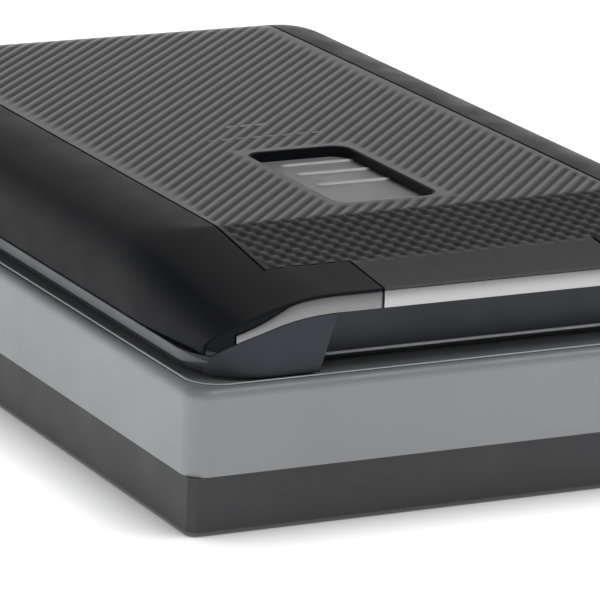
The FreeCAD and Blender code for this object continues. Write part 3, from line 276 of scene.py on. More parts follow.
def finish_piece(piece, body, material, slot, *nodes, angle=32):
    soften(piece, angle)
    piece.data.materials.clear()
    piece.data.materials.append(material)
    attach(piece, body)
    if nodes:
        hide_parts(*nodes)
    return piece


# Materials


def nodes_of(name):
    material = bpy.data.materials.new(name)
    material.use_nodes = True
    tree = material.node_tree
    shader = tree.nodes["Principled BSDF"]
    return material, tree, shader


def add(tree, kind, **values):
    node = tree.nodes.new(kind)
    for key, value in values.items():
        if hasattr(node, key):
            setattr(node, key, value)
        else:
            node.inputs[key.replace("_", " ")].default_value = value
    return node


def noise(tree, scale, detail=3.0, stretch=None):
    place = add(tree, "ShaderNodeTexCoord").outputs["Object"]
    if stretch:
        mapping = add(tree, "ShaderNodeMapping")
        mapping.inputs["Scale"].default_value = stretch
        tree.links.new(place, mapping.inputs["Vector"])
        place = mapping.outputs["Vector"]
    node = add(tree, "ShaderNodeTexNoise", Scale=scale, Detail=detail)
    tree.links.new(place, node.inputs["Vector"])
    return node.outputs["Fac"]


def ramp(tree, source, low, high, start=0.35, end=0.65):
    """Maps a 0..1 source onto low..high, between start and end."""
    node = add(tree, "ShaderNodeMapRange")
    node.inputs["From Min"].default_value = start
    node.inputs["From Max"].default_value = end
    node.inputs["To Min"].default_value = low
    node.inputs["To Max"].default_value = high
    tree.links.new(source, node.inputs["Value"])
    return node.outputs["Result"]


def tint(tree, source, low, high):
    """A colour between low and high."""
    node = add(tree, "ShaderNodeMix", data_type="RGBA")
    node.inputs[6].default_value = (*low, 1)
    node.inputs[7].default_value = (*high, 1)
    tree.links.new(source, node.inputs[0])
    return node.outputs[2]


def surface(tree, shader, heights, edge=0.0):
    """Bump from a list of (source, strength, distance in mm), over edges rounded by edge mm."""
    normal = None
    if edge:
        rounding = add(tree, "ShaderNodeBevel", samples=6)
        rounding.inputs["Radius"].default_value = edge * MM
        normal = rounding.outputs["Normal"]
    for source, strength, distance in heights:
        bump = add(tree, "ShaderNodeBump", Strength=strength, Distance=distance * MM)
        tree.links.new(source, bump.inputs["Height"])
        if normal is not None:
            tree.links.new(normal, bump.inputs["Normal"])
        normal = bump.outputs["Normal"]
    if normal is not None:
        tree.links.new(normal, shader.inputs["Normal"])


def plastic(name, colour, rough, grain=0.3, grain_scale=2600, spread=0.08, edge=0.3,
            specular=0.5):
    """Moulded plastic: fine grain, slow drift of colour and gloss, and softened edges."""
    material, tree, shader = nodes_of(name)
    drift = noise(tree, 9, 2)
    low = [c * (1 - spread) for c in colour]
    high = [c * (1 + spread) for c in colour]
    tree.links.new(tint(tree, ramp(tree, drift, 0, 1), low, high), shader.inputs["Base Color"])
    fine = noise(tree, grain_scale, 2)
    patches = noise(tree, 45, 3)
    tree.links.new(ramp(tree, patches, rough - 0.04, rough + 0.05), shader.inputs["Roughness"])
    shader.inputs["Specular IOR Level"].default_value = specular
    surface(tree, shader, [(fine, grain, 0.06)], edge)
    return material


def shell_plastic(name, flank, top, rough):
    """Black plastic with very little gloss, with a painted highlight that makes it paler where it
    faces up.
    """
    material, tree, shader = nodes_of(name)
    facing = add(tree, "ShaderNodeSeparateXYZ")
    place = add(tree, "ShaderNodeTexCoord")
    tree.links.new(place.outputs["Normal"], facing.inputs["Vector"])
    # Painted highlight: faces that turn up take the paler second colour.
    up = ramp(tree, facing.outputs["Z"], 0, 1, 0.78, 1.0)
    tree.links.new(tint(tree, up, flank, top), shader.inputs["Base Color"])
    tree.links.new(ramp(tree, noise(tree, 45, 3), rough - 0.04, rough + 0.05),
                   shader.inputs["Roughness"])
    shader.inputs["Specular IOR Level"].default_value = 0.06
    surface(tree, shader, [(noise(tree, 2600, 2), 0.12, 0.06)], 0.8)
    return material


def metal(name, colour, rough, along=(1, 1, 1), scale=900, edge=0.2):
    """Metal with fine lines along one direction."""
    material, tree, shader = nodes_of(name)
    lines = noise(tree, scale, 4, along)
    low = [c * 0.9 for c in colour]
    high = [min(1.0, c * 1.08) for c in colour]
    tree.links.new(tint(tree, ramp(tree, lines, 0, 1), low, high), shader.inputs["Base Color"])
    tree.links.new(ramp(tree, lines, rough - 0.06, rough + 0.08), shader.inputs["Roughness"])
    shader.inputs["Metallic"].default_value = 1.0
    surface(tree, shader, [(lines, 0.25, 0.03)], edge)
    return material


def ridged_panel(name, light, dark, rough):
    """The cover's plastic, with painted shade in its grooves, as deep as the attribute groove says.
    """
    material, tree, shader = nodes_of(name)
    groove = add(tree, "ShaderNodeAttribute", attribute_name="groove").outputs["Fac"]
    drift = noise(tree, 14, 2)
    base = tint(tree, ramp(tree, drift, 0, 1), [c * 0.93 for c in light], [c * 1.07 for c in light])
    # Painted shade: the colour is mixed towards the dark one in the grooves.
    blend = add(tree, "ShaderNodeMix", data_type="RGBA")
    tree.links.new(ramp(tree, groove, 0, 1, 0.2, 1.0), blend.inputs[0])
    tree.links.new(base, blend.inputs[6])
    blend.inputs[7].default_value = (*dark, 1)
    tree.links.new(blend.outputs[2], shader.inputs["Base Color"])
    tree.links.new(ramp(tree, groove, rough, rough + 0.2, 0, 1), shader.inputs["Roughness"])
    surface(tree, shader, [(noise(tree, 2400, 2), 0.25, 0.05)], 0.3)
    return material


def glass(name):
    material, tree, shader = nodes_of(name)
    smear = noise(tree, 30, 4)
    tree.links.new(ramp(tree, smear, 0.02, 0.07), shader.inputs["Roughness"])
    shader.inputs["Base Color"].default_value = (0.86, 0.95, 0.93, 1)
    shader.inputs["Transmission Weight"].default_value = 0.9
    shader.inputs["IOR"].default_value = 1.5
    return material


def foam(name):
    material, tree, shader = nodes_of(name)
    cells = noise(tree, 1400, 4)
    tree.links.new(tint(tree, cells, (0.5, 0.5, 0.48), (0.72, 0.72, 0.7)),
                   shader.inputs["Base Color"])
    shader.inputs["Roughness"].default_value = 0.95
    surface(tree, shader, [(cells, 0.8, 0.2)])
    return material


def circuit_board(name):
    """Green board with a darker net of tracks."""
    material, tree, shader = nodes_of(name)
    place = add(tree, "ShaderNodeTexCoord").outputs["Object"]
    tracks = add(tree, "ShaderNodeTexBrick", Scale=260)
    tracks.inputs["Color1"].default_value = (0.02, 0.16, 0.06, 1)
    tracks.inputs["Color2"].default_value = (0.015, 0.12, 0.05, 1)
    tracks.inputs["Mortar"].default_value = (0.06, 0.26, 0.1, 1)
    tracks.inputs["Mortar Size"].default_value = 0.03
    tree.links.new(place, tracks.inputs["Vector"])
    tree.links.new(tracks.outputs["Color"], shader.inputs["Base Color"])
    tree.links.new(ramp(tree, noise(tree, 80), 0.3, 0.45), shader.inputs["Roughness"])
    surface(tree, shader, [(tracks.outputs["Fac"], 0.3, 0.05)])
    return material


MATERIALS = {
    "charcoal_plastic": plastic("charcoal_plastic", (0.046, 0.046, 0.049), 0.6, 0.55, 1500, 0.1),
    "grey_plastic": plastic("grey_plastic", (0.315, 0.32, 0.33), 0.42, 0.2, 2600, 0.03, 0.4),
    # The black shell's second colour is a painted highlight for faces that turn up.
    "black_shell": shell_plastic("black_shell", (0.0125, 0.013, 0.015), (0.05, 0.05, 0.052), 0.4),
    # The textured panel's second colour is painted shade for its grooves.
    "textured_panel": ridged_panel("textured_panel", (0.044, 0.044, 0.046),
                                   (0.01, 0.01, 0.011), 0.32),
    "blue_black_plastic": plastic("blue_black_plastic", (0.026, 0.033, 0.043), 0.34, 0.16,
                                  edge=0.5, specular=0.35),
    "silver_trim": metal("silver_trim", (0.52, 0.52, 0.52), 0.36, (1, 22, 22), 500),
    "dim_trim": metal("dim_trim", (0.27, 0.27, 0.275), 0.4, (1, 22, 22), 500),
    "pad_grey": plastic("pad_grey", (0.42, 0.42, 0.42), 0.42, 0.2),
    # The ridge's lighter grey is a painted highlight.
    "ridge_highlight_grey": plastic("ridge_highlight_grey", (0.62, 0.63, 0.65), 0.3, 0.1),
    # The bead's paler grey is a painted highlight.
    "bead_highlight_grey": plastic("bead_highlight_grey", (0.12, 0.125, 0.13), 0.4, 0.15),
    "inlay": plastic("inlay", (0.3, 0.3, 0.3), 0.35, 0.1),
    # The near-white of the well's ribs and the gap's lip is a painted highlight.
    "highlight_white": plastic("highlight_white", (0.85, 0.85, 0.85), 0.26, 0.1),
    "clear_glass": glass("clear_glass"),
    "white_plastic": plastic("white_plastic", (0.78, 0.78, 0.75), 0.5, 0.2, 1800, 0.02),
    "button_plastic": plastic("button_plastic", (0.2, 0.205, 0.21), 0.32, 0.15, 2600, 0.05),
    "rubber": plastic("rubber", (0.02, 0.02, 0.02), 0.8, 0.6, 1200, 0.15),
    "steel": metal("steel", (0.52, 0.52, 0.53), 0.28, (24, 1, 24), 400),
    "zinc_plate": metal("zinc_plate", (0.5, 0.5, 0.48), 0.42, (3, 3, 3), 120),
    "circuit_board": circuit_board("circuit_board"),
    "chip_plastic": plastic("chip_plastic", (0.02, 0.02, 0.022), 0.45, 0.4, 1800, 0.1),
    "gear_plastic": plastic("gear_plastic", (0.7, 0.68, 0.6), 0.45, 0.15, 1800, 0.04),
    "bronze": metal("bronze", (0.6, 0.38, 0.17), 0.35, (1, 24, 1), 300),
    "mirror_glass": metal("mirror_glass", (0.88, 0.89, 0.9), 0.09, (1, 1, 1), 60),
    "foam": foam("foam"),
}


def dress_frame():
    """Each carried-over CAD node takes its slot's material and smooth shading."""
    for row in frame["record"]["subparts"]:
        node = frame["nodes"][row["node"]]
        node.data.materials.clear()
        node.data.materials.append(MATERIALS[row["material_slot"]])
        soften(node)


# The lid's fine shell


# On the flanks the crease spreads this far, from nothing at the top's flat part.
CREASE_SPREAD = 28
SPREAD_RANGE = (0.05, 0.6)

# Heights and widths that lie clear of the lid, for solids that cut it one way only.
FORM_LOW = 60
PLAN_SPAN = (55, 115)
CLEAR_LOW, CLEAR_HIGH = 50, 120
CLEAR_LOWEST = 40
CLEAR_X, CLEAR_Y = 160, 260
CLEAR_FRONT = LID_FRONT - 8

# The notches at the back for the hinges, and the dark fill under the brow.
NOTCH_X, NOTCH_HALF = 95, 17
NOTCH_Y, NOTCH_Z = (214, 240), (CLEAR_LOW, 86)
FILL_TOP, FILL_GAP = 115, 0.4
FILL_OUTSIDE, FILL_INSIDE = 0.45, 0.85


def form_solid(name, thick=0.0, lowered=0.0, low=FORM_LOW, front=LID_FRONT - 1.0):
    """The lid's whole form as one closed solid, from its front to its rounded back."""
    rows = [front + (FOLD_Y - front) * i / 20 for i in range(20)]
    rows = sorted({*rows, *(FOLD_Y + 2 * i for i in range(-14, 15)),
                   FOLD_Y - CREASE_SOFT, FOLD_Y + CREASE_SOFT})
    rows += [mix(FOLD_Y + 32, REAR_START, i / 10) for i in range(11)]
    back = LID_BACK + FORM_OVERRUN - thick
    turns = [math.radians(90 * i / 18) for i in range(1, 19)]
    rows += [mix(REAR_START, back, math.sin(turn) ** (2 / REAR_POWER)) for turn in turns]
    rings = []
    for y in rows:
        share = rear_share(y, thick)
        side = [(section(y, thick, CREASE_SPREAD)[2], low)]
        for i in range(25):
            turn = math.radians(90 * i / 24)
            spread = CREASE_SPREAD * smooth_step(math.cos(turn), *SPREAD_RANGE)
            top, flat, full, power = section(y, thick, CREASE_SOFT + spread)
            x = mix(flat, full, math.cos(turn) ** (2 / power))
            rise = math.sin(turn) ** (2 / power)
            side.append((x, FORM_BASE + (top - FORM_BASE) * rise * share))
        ring = [(-x, z) for x, z in side] + side[::-1]
        rings.append([(x, y, z - lowered) for x, z in ring])
    return loft(name, rings)


def plan(inset):
    """The lid's outline in plan, drawn in by inset, as an upright solid."""
    outline = rounded_outline((-LID_HALF + inset, LID_HALF - inset),
                              (LID_FRONT + inset, LID_BACK - inset),
                              FRONT_CORNER - inset, REAR_CORNER - inset, 20)
    return prism("plan", outline, *PLAN_SPAN)


def cover_outline(gap, rear_gap, corner):
    half, lip = COVER_HALF - gap, LIP_HALF - gap
    back, neck, front = COVER_BACK - rear_gap, NECK_Y + gap, LID_FRONT - 5
    outline = [(-half, neck), (-lip, neck), (-lip, front), (lip, front), (lip, neck), (half, neck)]
    for x, start in ((half - corner, 0), (corner - half, 90)):
        for i in range(9):
            turn = math.radians(start + 90 * i / 8)
            outline.append((x + corner * math.cos(turn), back - corner + corner * math.sin(turn)))
    return prism("cover_outline", outline, CLEAR_LOW, CLEAR_HIGH)


def open_nose(piece):
    """Leaves only a thin brow over the trim at the front."""
    under = form_solid("under", 0, TRIM_DROP - 0.1, CLEAR_LOW, CLEAR_FRONT)
    nose = block("nose", (-CLEAR_X, CLEAR_X), (-CLEAR_Y, NOSE_Y), (CLEAR_LOWEST, CLEAR_HIGH))
    return remove(piece, keep(under, nose))


def brow_fill(sign):
    """The dark corner between the brow and the trim's sloping end, set just inside both."""
    slope = (TRIM_TIP - TAPER_X) / (TAPER_Z - TRIM_TIP_Z)
    side = [(TAPER_X + FILL_GAP - (FILL_TOP - TAPER_Z) * slope, FILL_TOP),
            (TRIM_TIP + FILL_GAP, TRIM_TIP_Z), (TRIM_TIP + FILL_GAP, FILL_LOW),
            (CLEAR_X, FILL_LOW), (CLEAR_X, FILL_TOP)]
    rings = [[(sign * x, y, z) for x, z in side] for y in (-CLEAR_Y, NOSE_Y - 0.2)]
    wedge = loft("brow_fill", rings if sign < 0 else rings[::-1])
    form = form_solid("fill_form", 0, TRIM_DROP + 0.2, CLEAR_LOW, CLEAR_FRONT)
    fill = keep(keep(wedge, form), plan(FILL_OUTSIDE))
    fill = remove(fill, plan(FILL_INSIDE))
    return finish_piece(fill, "lid", MATERIALS["black_shell"], "black_shell")


def lid_shell():
    """The black upper shell, with the cover's opening and the notches for the hinges."""
    shell = keep(form_solid("lid_shell"), plan(0))
    shell = remove(shell, keep(form_solid("inner", SKIN), plan(SKIN)))
    above = block("above", (-CLEAR_X, CLEAR_X), (-CLEAR_Y, CLEAR_Y), (SPLIT_Z, CLEAR_HIGH))
    shell = keep(shell, above)
    shell = remove(open_nose(shell), cover_outline(0, 0, OPENING_CORNER))
    for sign in (-1, 1):
        middle = sign * NOTCH_X
        notch = block("notch", (middle - NOTCH_HALF, middle + NOTCH_HALF), NOTCH_Y, NOTCH_Z)
        shell = remove(shell, notch)
    return finish_piece(shell, "lid", MATERIALS["black_shell"], "black_shell", "lid_upper_shell")


# The ridged cover

# The top has one set of slanting ridges; on the slope a second set crosses it.
RIDGE_WAVE = (0.1285, -0.119)
CROSS_WAVE = (0.128, 0.07)
RIDGE_DEPTH = 0.45
RIDGE_POWER = 1.5
CROSS_RANGE = (0.25, 0.8)
GRID_X, GRID_Y, GRID_MARGIN = 1.0, 1.4, 2

# Distances from an edge at which the texture starts and is full. At the sides the second
# grows by the third number, between the crease and the y that comes last.
REAR_FADE, LIP_FADE, WELL_FADE = (5, 16), (-2, 3), (1.5, 8)
LEFT_FADE, RIGHT_FADE = (2, 4, 9, -100), (3, 6, 8, 40)

# The well's lining, its three ribs, and the two bars behind it: name, y, length, width.
WELL_PLAY, WELL_INSIDE, WELL_INSIDE_CORNER = 0.2, 0.9, WELL["corner"] - 0.7
WELL_RIM_DROP = 0.25
RIB_LENGTH, RIB_WIDTH, RIB_HEIGHT = 38, 3.2, 1.0
RIB_SHIFT, RIB_OFFSETS = 7, (38, 21, 1)
MARKS = (("mark_short", 1, 26, 4), ("mark_long", -21, 64, 2.4))
MARK_SINK, MARK_HEIGHT = 0.6, 0.55

EYE_STARTS = (("left", -75), ("right", 65))
EYE_LENGTH, EYE_RADIUS, EYE_BORE, EYE_TOP = 10, 4, 1.6, 105.6


def wave(x, y, numbers):
    """A cosine across the plan, from 0 to 1; the numbers are its waves per millimetre."""
    return 0.5 + 0.5 * math.cos(2 * math.pi * (x * numbers[0] + y * numbers[1]))


def side_fade(inside, y, start, full, widening, reach):
    return smooth_step(inside, start, full + widening * smooth_step(y, FOLD_Y, reach))


def groove_at(x, y):
    """Depth of the cover's texture at a place, from 0 on a crest to 1 in a groove."""
    ridge = wave(x, y, RIDGE_WAVE)
    crossed = smooth_step(0.5 * (ridge + wave(x, y, CROSS_WAVE)), *CROSS_RANGE)
    depth = mix(ridge ** RIDGE_POWER, crossed, smooth_step(FOLD_Y - y, -1, 1))
    left = side_fade(COVER_HALF + x, y, *LEFT_FADE)
    right = side_fade(COVER_HALF - x, y, *RIGHT_FADE)
    rear = smooth_step(COVER_BACK - y, *REAR_FADE)
    lip = smooth_step(y - NECK_Y, *LIP_FADE)
    away = max(abs(x - WELL["x"]) - WELL["half_x"], abs(y - WELL["y"]) - WELL["half_y"])
    well = smooth_step(away, *WELL_FADE)
    return depth * left * right * rear * lip * well


def ridged_solid():
    """A deep solid whose top is the form with the texture sunk into it."""
    across = int(COVER_HALF / GRID_X) + 2
    columns = [GRID_X * i for i in range(-across, across + 1)]
    count = int((COVER_BACK - LID_FRONT + 2 * GRID_MARGIN) / GRID_Y) + 1
    rows = [LID_FRONT - GRID_MARGIN + GRID_Y * i for i in range(count)]
    points = [(x, y, form_z(x, y) - RIDGE_DEPTH * groove_at(x, y)) for y in rows for x in columns]
    width = len(columns)
    faces = []
    for row in range(count - 1):
        start = row * width
        faces += [(a, a + 1, a + 1 + width, a + width) for a in range(start, start + width - 1)]
    front = list(range(width))
    right = [row * width + width - 1 for row in range(1, count)]
    back = list(range(count * width - 2, (count - 1) * width - 1, -1))
    left = [row * width for row in range(count - 2, 0, -1)]
    rim = front + right + back + left
    low = len(points)
    points += [(points[i][0], points[i][1], FORM_LOW) for i in rim]
    for i in range(len(rim)):
        j = (i + 1) % len(rim)
        faces.append((rim[j], rim[i], low + i, low + j))
    faces.append(tuple(range(len(points) - 1, low - 1, -1)))
    return as_object("lid_cover", points, faces)


def paint_grooves(piece):
    """Stores the texture's depth at each point for the material, which paints shade in the grooves
    by it.
    """
    depths = piece.data.attributes.new("groove", "FLOAT", "POINT")
    values = [groove_at(v.co.x / MM, v.co.y / MM) for v in piece.data.vertices]
    depths.data.foreach_set("value", values)


def well_outline(inset=0.0, corner=WELL["corner"]):
    """The finger well in plan, drawn in by inset."""
    return rounded_outline((WELL["x"] - WELL["half_x"] + inset, WELL["x"] + WELL["half_x"] - inset),
                           (WELL["y"] - WELL["half_y"] + inset, WELL["y"] + WELL["half_y"] - inset),
                           corner, corner)


def lid_cover():
    """The storage cover: a ridged skin with a hole for the finger well."""
    cover = keep(ridged_solid(), cover_outline(SEAM, REAR_SEAM, COVER_CORNER))
    cover = keep(cover, plan(0))
    cover = open_nose(remove(cover, form_solid("cover_inner", SKIN, 0, CLEAR_LOWEST, CLEAR_FRONT)))
    cover = remove(cover, prism("well_hole", well_outline(), 80, CLEAR_HIGH))
    paint_grooves(cover)
    return finish_piece(cover, "storage_lid", MATERIALS["textured_panel"], "textured_panel",
                        "storage_cover", angle=40)


def cover_hinges():
    """The two eyes under the cover's rear edge that turn on the cover's pins."""
    low, high = corners("cover_pins")
    y, z = (low.y + high.y) / 2, (low.z + high.z) / 2
    for side, start in EYE_STARTS:
        eye = block(f"cover_eye_{side}", (start, start + EYE_LENGTH),
                    (y - EYE_RADIUS, y + EYE_RADIUS), (z, EYE_TOP))
        eye = join(eye, rod("barrel", start, y, z, EYE_RADIUS, EYE_LENGTH))
        eye = remove(eye, rod("bore", start - 1, y, z, EYE_BORE, EYE_LENGTH + 2))
        finish_piece(eye, "storage_lid", MATERIALS["black_shell"], "textured_panel")


def finger_pad():
    """The well's walls, black and darker than the cover as painted shade in the recess, its satin
    floor, and three ribs to grip it by, near-white as a painted highlight.
    """
    x, y = WELL["x"], WELL["y"]
    low, high = corners("finger_pad")
    floor_z = high.z - RIB_HEIGHT
    walls = rounded_outline((low.x, high.x), (low.y, high.y), WELL["corner"], WELL["corner"])
    plate = prism("well_plate", walls, low.z, floor_z)
    finish_piece(plate, "storage_lid", MATERIALS["pad_grey"], "pad_grey", "finger_pad")
    top = form_z(x, y) - WELL_RIM_DROP
    inside = well_outline(WELL_INSIDE, WELL_INSIDE_CORNER)
    # The walls are black as painted shade in the recess.
    wall = remove(prism("well_wall", well_outline(WELL_PLAY), floor_z, top),
                  prism("well_space", inside, floor_z - 1, top + 1))
    finish_piece(wall, "storage_lid", MATERIALS["black_shell"], "black_shell")
    # The ribs are near-white as a painted highlight.
    for i, offset in enumerate(RIB_OFFSETS):
        rib = bead_bar(f"well_rib_{i + 1}", x + RIB_SHIFT, y + offset, floor_z,
                       RIB_LENGTH, RIB_WIDTH, RIB_HEIGHT)
        finish_piece(rib, "storage_lid", MATERIALS["highlight_white"], "pad_grey")


def top_mark():
    """Two plain inlaid bars behind the well, in place of any lettering."""
    for name, y, length, width in MARKS:
        bar = bead_bar(name, WELL["x"], y, TOP_Z - MARK_SINK, length, width, MARK_HEIGHT)
        finish_piece(bar, "storage_lid", MATERIALS["inlay"], "pad_grey")


# Mouldings round the case and the lid

CASE_HALF_X, CASE_HALF_Y = CAD_BOX[1][0] / MM, CAD_BOX[1][1] / MM
RIM_RADIUS = 21
RIM_Z = 63.5
RIM_RIDGE_INSET, RIM_RIDGE_HALF, RIM_RIDGE_RISE = 6.25, 0.65, 0.6
RIM_GROOVE_INSETS, RIM_GROOVE_TOP, RIM_GROOVE_DROP = (4.95, 5.6), 0.02, 0.6

# The bead's painted highlight starts part way round the corner and widens over its first places.
BAND_START, BAND_STEP, BAND_PLACES = 52, 3.8, 11
BAND_TIP_HALF, BAND_HALF, BAND_WIDENING = 0.2, 2.2, 7
BAND_BURIED, BAND_EDGE, BAND_PROUD = -0.3, 0.08, 0.12

GAP_LIP_Z, GAP_LIP_RADIUS = 66.3, 0.7


def rim_moulding(name, profile, look, slot):
    """A closed band round the rim; the profile is pairs of inset from the walls and height."""
    rings = []
    for inset, z in profile:
        xs = (inset - CASE_HALF_X, CASE_HALF_X - inset)
        ys = (inset - CASE_HALF_Y, CASE_HALF_Y - inset)
        radius = RIM_RADIUS - inset
        rings.append([(x, y, z) for x, y in rounded_outline(xs, ys, radius, radius)])
    count = len(rings[0])
    points = [p for ring in rings for p in ring]
    faces = []
    for row in range(len(rings)):
        start, above = row * count, (row + 1) % len(rings) * count
        for i in range(count):
            j = (i + 1) % count
            faces.append((start + i, start + j, above + j, above + i))
    return finish_piece(as_object(name, points, faces), "base", MATERIALS[look], slot)


def rim_mouldings():
    """The rim's half-round ridge, in a lighter grey as a painted highlight, and a black strip in
    the groove outside it as painted shade.
    """
    turns = [math.pi * i / 8 for i in range(9)]
    ridge = [(RIM_RIDGE_INSET - RIM_RIDGE_HALF * math.cos(t),
              RIM_Z - 0.1 + RIM_RIDGE_RISE * math.sin(t)) for t in turns]
    # The ridge's lighter grey is a painted highlight.
    rim_moulding("rim_ridge", ridge, "ridge_highlight_grey", "grey_plastic")
    # The black strip in the groove is painted shade, in the rubber colour.
    near, far = RIM_GROOVE_INSETS
    low, high = RIM_Z - RIM_GROOVE_DROP, RIM_Z + RIM_GROOVE_TOP
    groove = [(near, low), (near, high), (far, high), (far, low)]
    rim_moulding("rim_groove_shade", groove, "rubber", "rubber")


def bead_highlight_bands():
    """A painted highlight along the lid's bead: a paler strip down each side, fading out round the
    front corner.
    """
    centre = LID_HALF - FRONT_CORNER
    turns = [math.radians(BAND_START + BAND_STEP * i) for i in range(BAND_PLACES)]
    side = [(centre + FRONT_CORNER * math.sin(t), LID_FRONT + FRONT_CORNER * (1 - math.cos(t)),
             math.sin(t), -math.cos(t)) for t in turns]
    side.append((LID_HALF, LID_BACK - REAR_CORNER - 1, 1, 0))
    for name, sign in (("left", -1), ("right", 1)):
        rings = []
        for i, (x, y, nx, ny) in enumerate(side):
            half = mix(BAND_TIP_HALF, BAND_HALF, clamp(i / BAND_WIDENING))
            profile = [(BAND_BURIED, -half), (BAND_EDGE, -half), (BAND_PROUD, 0),
                       (BAND_EDGE, half), (BAND_BURIED, half)]
            rings.append([(sign * (x + nx * out), y + ny * out, BEAD_Z + rise)
                          for out, rise in profile[::sign]])
        band = loft(f"bead_highlight_strip_{name}", rings)
        # The paler grey is a painted highlight on the blue-black bead.
        finish_piece(band, "lid", MATERIALS["bead_highlight_grey"], "blue_black_plastic")


def gap_lip():
    """A thin lip along the bottom of the recessed front, near-white as a painted highlight."""
    bar = rod("gap_lip", -GAP_HALF, GAP_Y, GAP_LIP_Z, GAP_LIP_RADIUS, 2 * GAP_HALF, 12)
    # The near-white is a painted highlight.
    finish_piece(bar, "lid", MATERIALS["highlight_white"], "silver_trim")


# The silver trim


def trim_path(start, end):
    """Places along the lid's front edge, from x = start to x = end, with their outward normals."""
    centre = LID_HALF - FRONT_CORNER
    path = []
    for i in range(40):
        turn = math.radians(90 - 90 * i / 40)
        x = centre + FRONT_CORNER * math.sin(turn)
        y = LID_FRONT + FRONT_CORNER * (1 - math.cos(turn))
        path.append((-x, y, -math.sin(turn), -math.cos(turn)))
    path += [(-centre + 2 * centre * i / 60, LID_FRONT, 0, -1) for i in range(61)]
    path += [(-x, y, -nx, ny) for x, y, nx, ny in reversed(path[:40])]
    inside = [place for place in path if start < place[0] < end]
    first = [start, *edge_at(start)]
    last = [end, *edge_at(end)]
    return [first, *inside, last]


def edge_at(x):
    """The y and normal of the lid's front edge at x."""
    centre = LID_HALF - FRONT_CORNER
    beyond = abs(x) - centre
    if beyond <= 0:
        return LID_FRONT, 0, -1
    turn = math.asin(beyond / FRONT_CORNER)
    y = LID_FRONT + FRONT_CORNER * (1 - math.cos(turn))
    return y, math.copysign(math.sin(turn), x), -math.cos(turn)


def trim(name, body, start, end, look, ease, node):
    """A band that follows the lid's front edge just below its top and runs out to a tip."""
    rings = []
    for x, y, nx, ny in trim_path(start, end):
        bottom = form_z(x, y) - TRIM_DROP - TRIM_HEIGHT
        slant = TAPER_Z - (abs(x) - TAPER_X) * (TAPER_Z - TRIM_TIP_Z) / (TRIM_TIP - TAPER_X)
        height = clamp(slant - bottom, 0.2, TRIM_HEIGHT)
        top = bottom + height
        bend = min(ease, height / 3)
        profile = [(TRIM_THICK, top), (bend, top), (bend / 3, top - bend / 3), (0, top - bend),
                   (0, bottom + height / 10), (0.1, bottom), (TRIM_THICK, bottom)]
        rings.append([(x - nx * inward, y - ny * inward, z) for inward, z in profile])
    piece = loft(name, rings)
    return finish_piece(piece, body, MATERIALS[look], "silver_trim", node)


# The stage


SURROUND_EVEN, SURROUND_RIGHT, SURROUND_BEHIND = 1.05, -0.6, 0.55
SURROUND_SPREAD, SURROUND_BASE = 0.3, 0.075
FLOOR_HALF = 6.0
SHADOW_REACH = 0.05


def world():
    """Soft studio surround: bright near the horizon, most of all behind and to the left."""
    surround = bpy.data.worlds.new("studio")
    bpy.context.scene.world = surround
    surround.use_nodes = True
    tree = surround.node_tree
    background = tree.nodes["Background"]
    place = add(tree, "ShaderNodeTexCoord").outputs["Generated"]
    parts = add(tree, "ShaderNodeSeparateXYZ")
    tree.links.new(place, parts.inputs["Vector"])

    def maths(kind, first, second):
        node = add(tree, "ShaderNodeMath", operation=kind)
        for socket, value in zip(node.inputs, (first, second)):
            if isinstance(value, (int, float)):
                socket.default_value = value
            else:
                tree.links.new(value, socket)
        return node.outputs[0]

    low = maths("MULTIPLY", parts.outputs["Z"], parts.outputs["Z"])
    low = maths("EXPONENT", maths("MULTIPLY", low, -1 / SURROUND_SPREAD ** 2), 0)
    toward = maths("ADD", maths("MULTIPLY", parts.outputs["X"], SURROUND_RIGHT),
                   maths("MULTIPLY", parts.outputs["Y"], SURROUND_BEHIND))
    toward = maths("ADD", toward, SURROUND_EVEN)
    glow = maths("ADD", maths("MULTIPLY", low, toward), SURROUND_BASE)
    tree.links.new(glow, background.inputs["Strength"])
    background.inputs["Color"].default_value = (1, 1, 1, 1)


def floor():
    """A plain pale floor whose glow dims close to the object, which deepens the shadow there."""
    size = FLOOR_HALF
    mesh = bpy.data.meshes.new("floor")
    mesh.from_pydata([(-size, -size, 0), (size, -size, 0), (size, size, 0), (-size, size, 0)], [],
                     [(0, 1, 2, 3)])
    piece = bpy.data.objects.new("floor", mesh)
    bpy.context.scene.collection.objects.link(piece)
    material, tree, shader = nodes_of("pale_floor")
    shader.inputs["Base Color"].default_value = (0.6, 0.6, 0.6, 1)
    shader.inputs["Roughness"].default_value = 0.9
    shader.inputs["Specular IOR Level"].default_value = 0.0
    nearby = add(tree, "ShaderNodeAmbientOcclusion", samples=8, Distance=SHADOW_REACH)
    light = ramp(tree, nearby.outputs["AO"], 0.05, 0.95, 0.35, 0.9)
    tree.links.new(light, shader.inputs["Emission Strength"])
    shader.inputs["Emission Color"].default_value = (1, 1, 1, 1)
    mesh.materials.append(material)


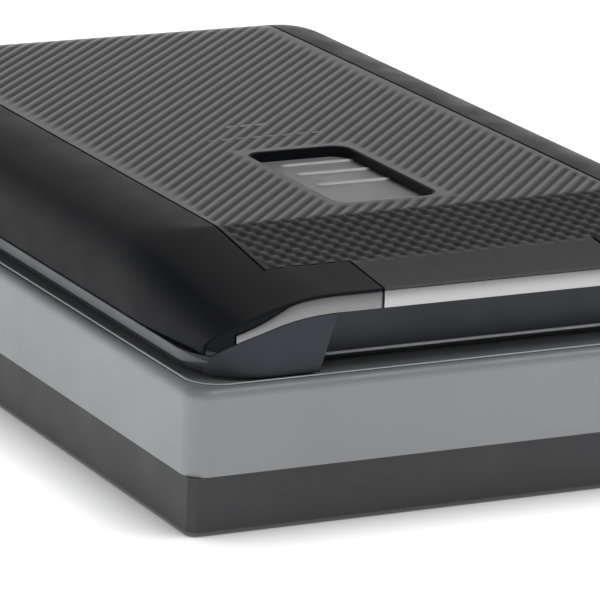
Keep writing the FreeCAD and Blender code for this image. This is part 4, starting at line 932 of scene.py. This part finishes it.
def area_light(name, place, target, size, power):
    light = bpy.data.lights.new(name, "AREA")
    light.shape, light.size, light.energy = "DISK", size, power
    holder = bpy.data.objects.new(name, light)
    holder.location = place
    holder.rotation_euler = (Vector(target) - Vector(place)).to_track_quat("-Z", "Y").to_euler()
    bpy.context.scene.collection.objects.link(holder)


CAMERA = dict(azimuth=-26.55, elevation=15.39, roll=1.79, distance=2.2948, lens=305.92,
              target=(-0.02677, -0.10142, 0.052))


def camera():
    """A long lens from the front left, a little above and slightly rolled."""
    azimuth, elevation = math.radians(CAMERA["azimuth"]), math.radians(CAMERA["elevation"])
    back = Vector((math.sin(azimuth) * math.cos(elevation),
                   -math.cos(azimuth) * math.cos(elevation), math.sin(elevation)))
    data = bpy.data.cameras.new("camera")
    data.lens, data.sensor_width = CAMERA["lens"], 36
    data.clip_start, data.clip_end = 0.1, 30
    holder = bpy.data.objects.new("camera", data)
    holder.location = Vector(CAMERA["target"]) + back * CAMERA["distance"]
    turn = (-back).to_track_quat("-Z", "Y").to_matrix()
    roll = math.radians(CAMERA["roll"])
    right = turn.col[0] * math.cos(roll) + turn.col[1] * math.sin(roll)
    up = turn.col[1] * math.cos(roll) - turn.col[0] * math.sin(roll)
    turn.col[0], turn.col[1] = right, up
    holder.rotation_euler = turn.to_euler()
    bpy.context.scene.collection.objects.link(holder)
    bpy.context.scene.camera = holder


def main():
    bpy.context.scene.view_settings.view_transform = "Standard"
    dress_frame()
    lid_shell()
    brow_fill(-1)
    brow_fill(1)
    lid_cover()
    cover_hinges()
    finger_pad()
    top_mark()
    rim_mouldings()
    bead_highlight_bands()
    gap_lip()
    trim("trim_left", "lid", -TRIM_TIP, -LIP_HALF, "dim_trim", 1.0, "trim_strip_left")
    trim("trim_right", "lid", LIP_HALF, TRIM_TIP, "dim_trim", 1.0, "trim_strip_right")
    trim("trim_cover", "storage_lid", SEAM - LIP_HALF, LIP_HALF - SEAM, "silver_trim", 0.4,
         "cover_trim_strip")
    world()
    floor()
    area_light("top_softbox", (0.9, -0.6, 2.0), (0, 0, 0.05), 1.0, 14)
    camera()


main()
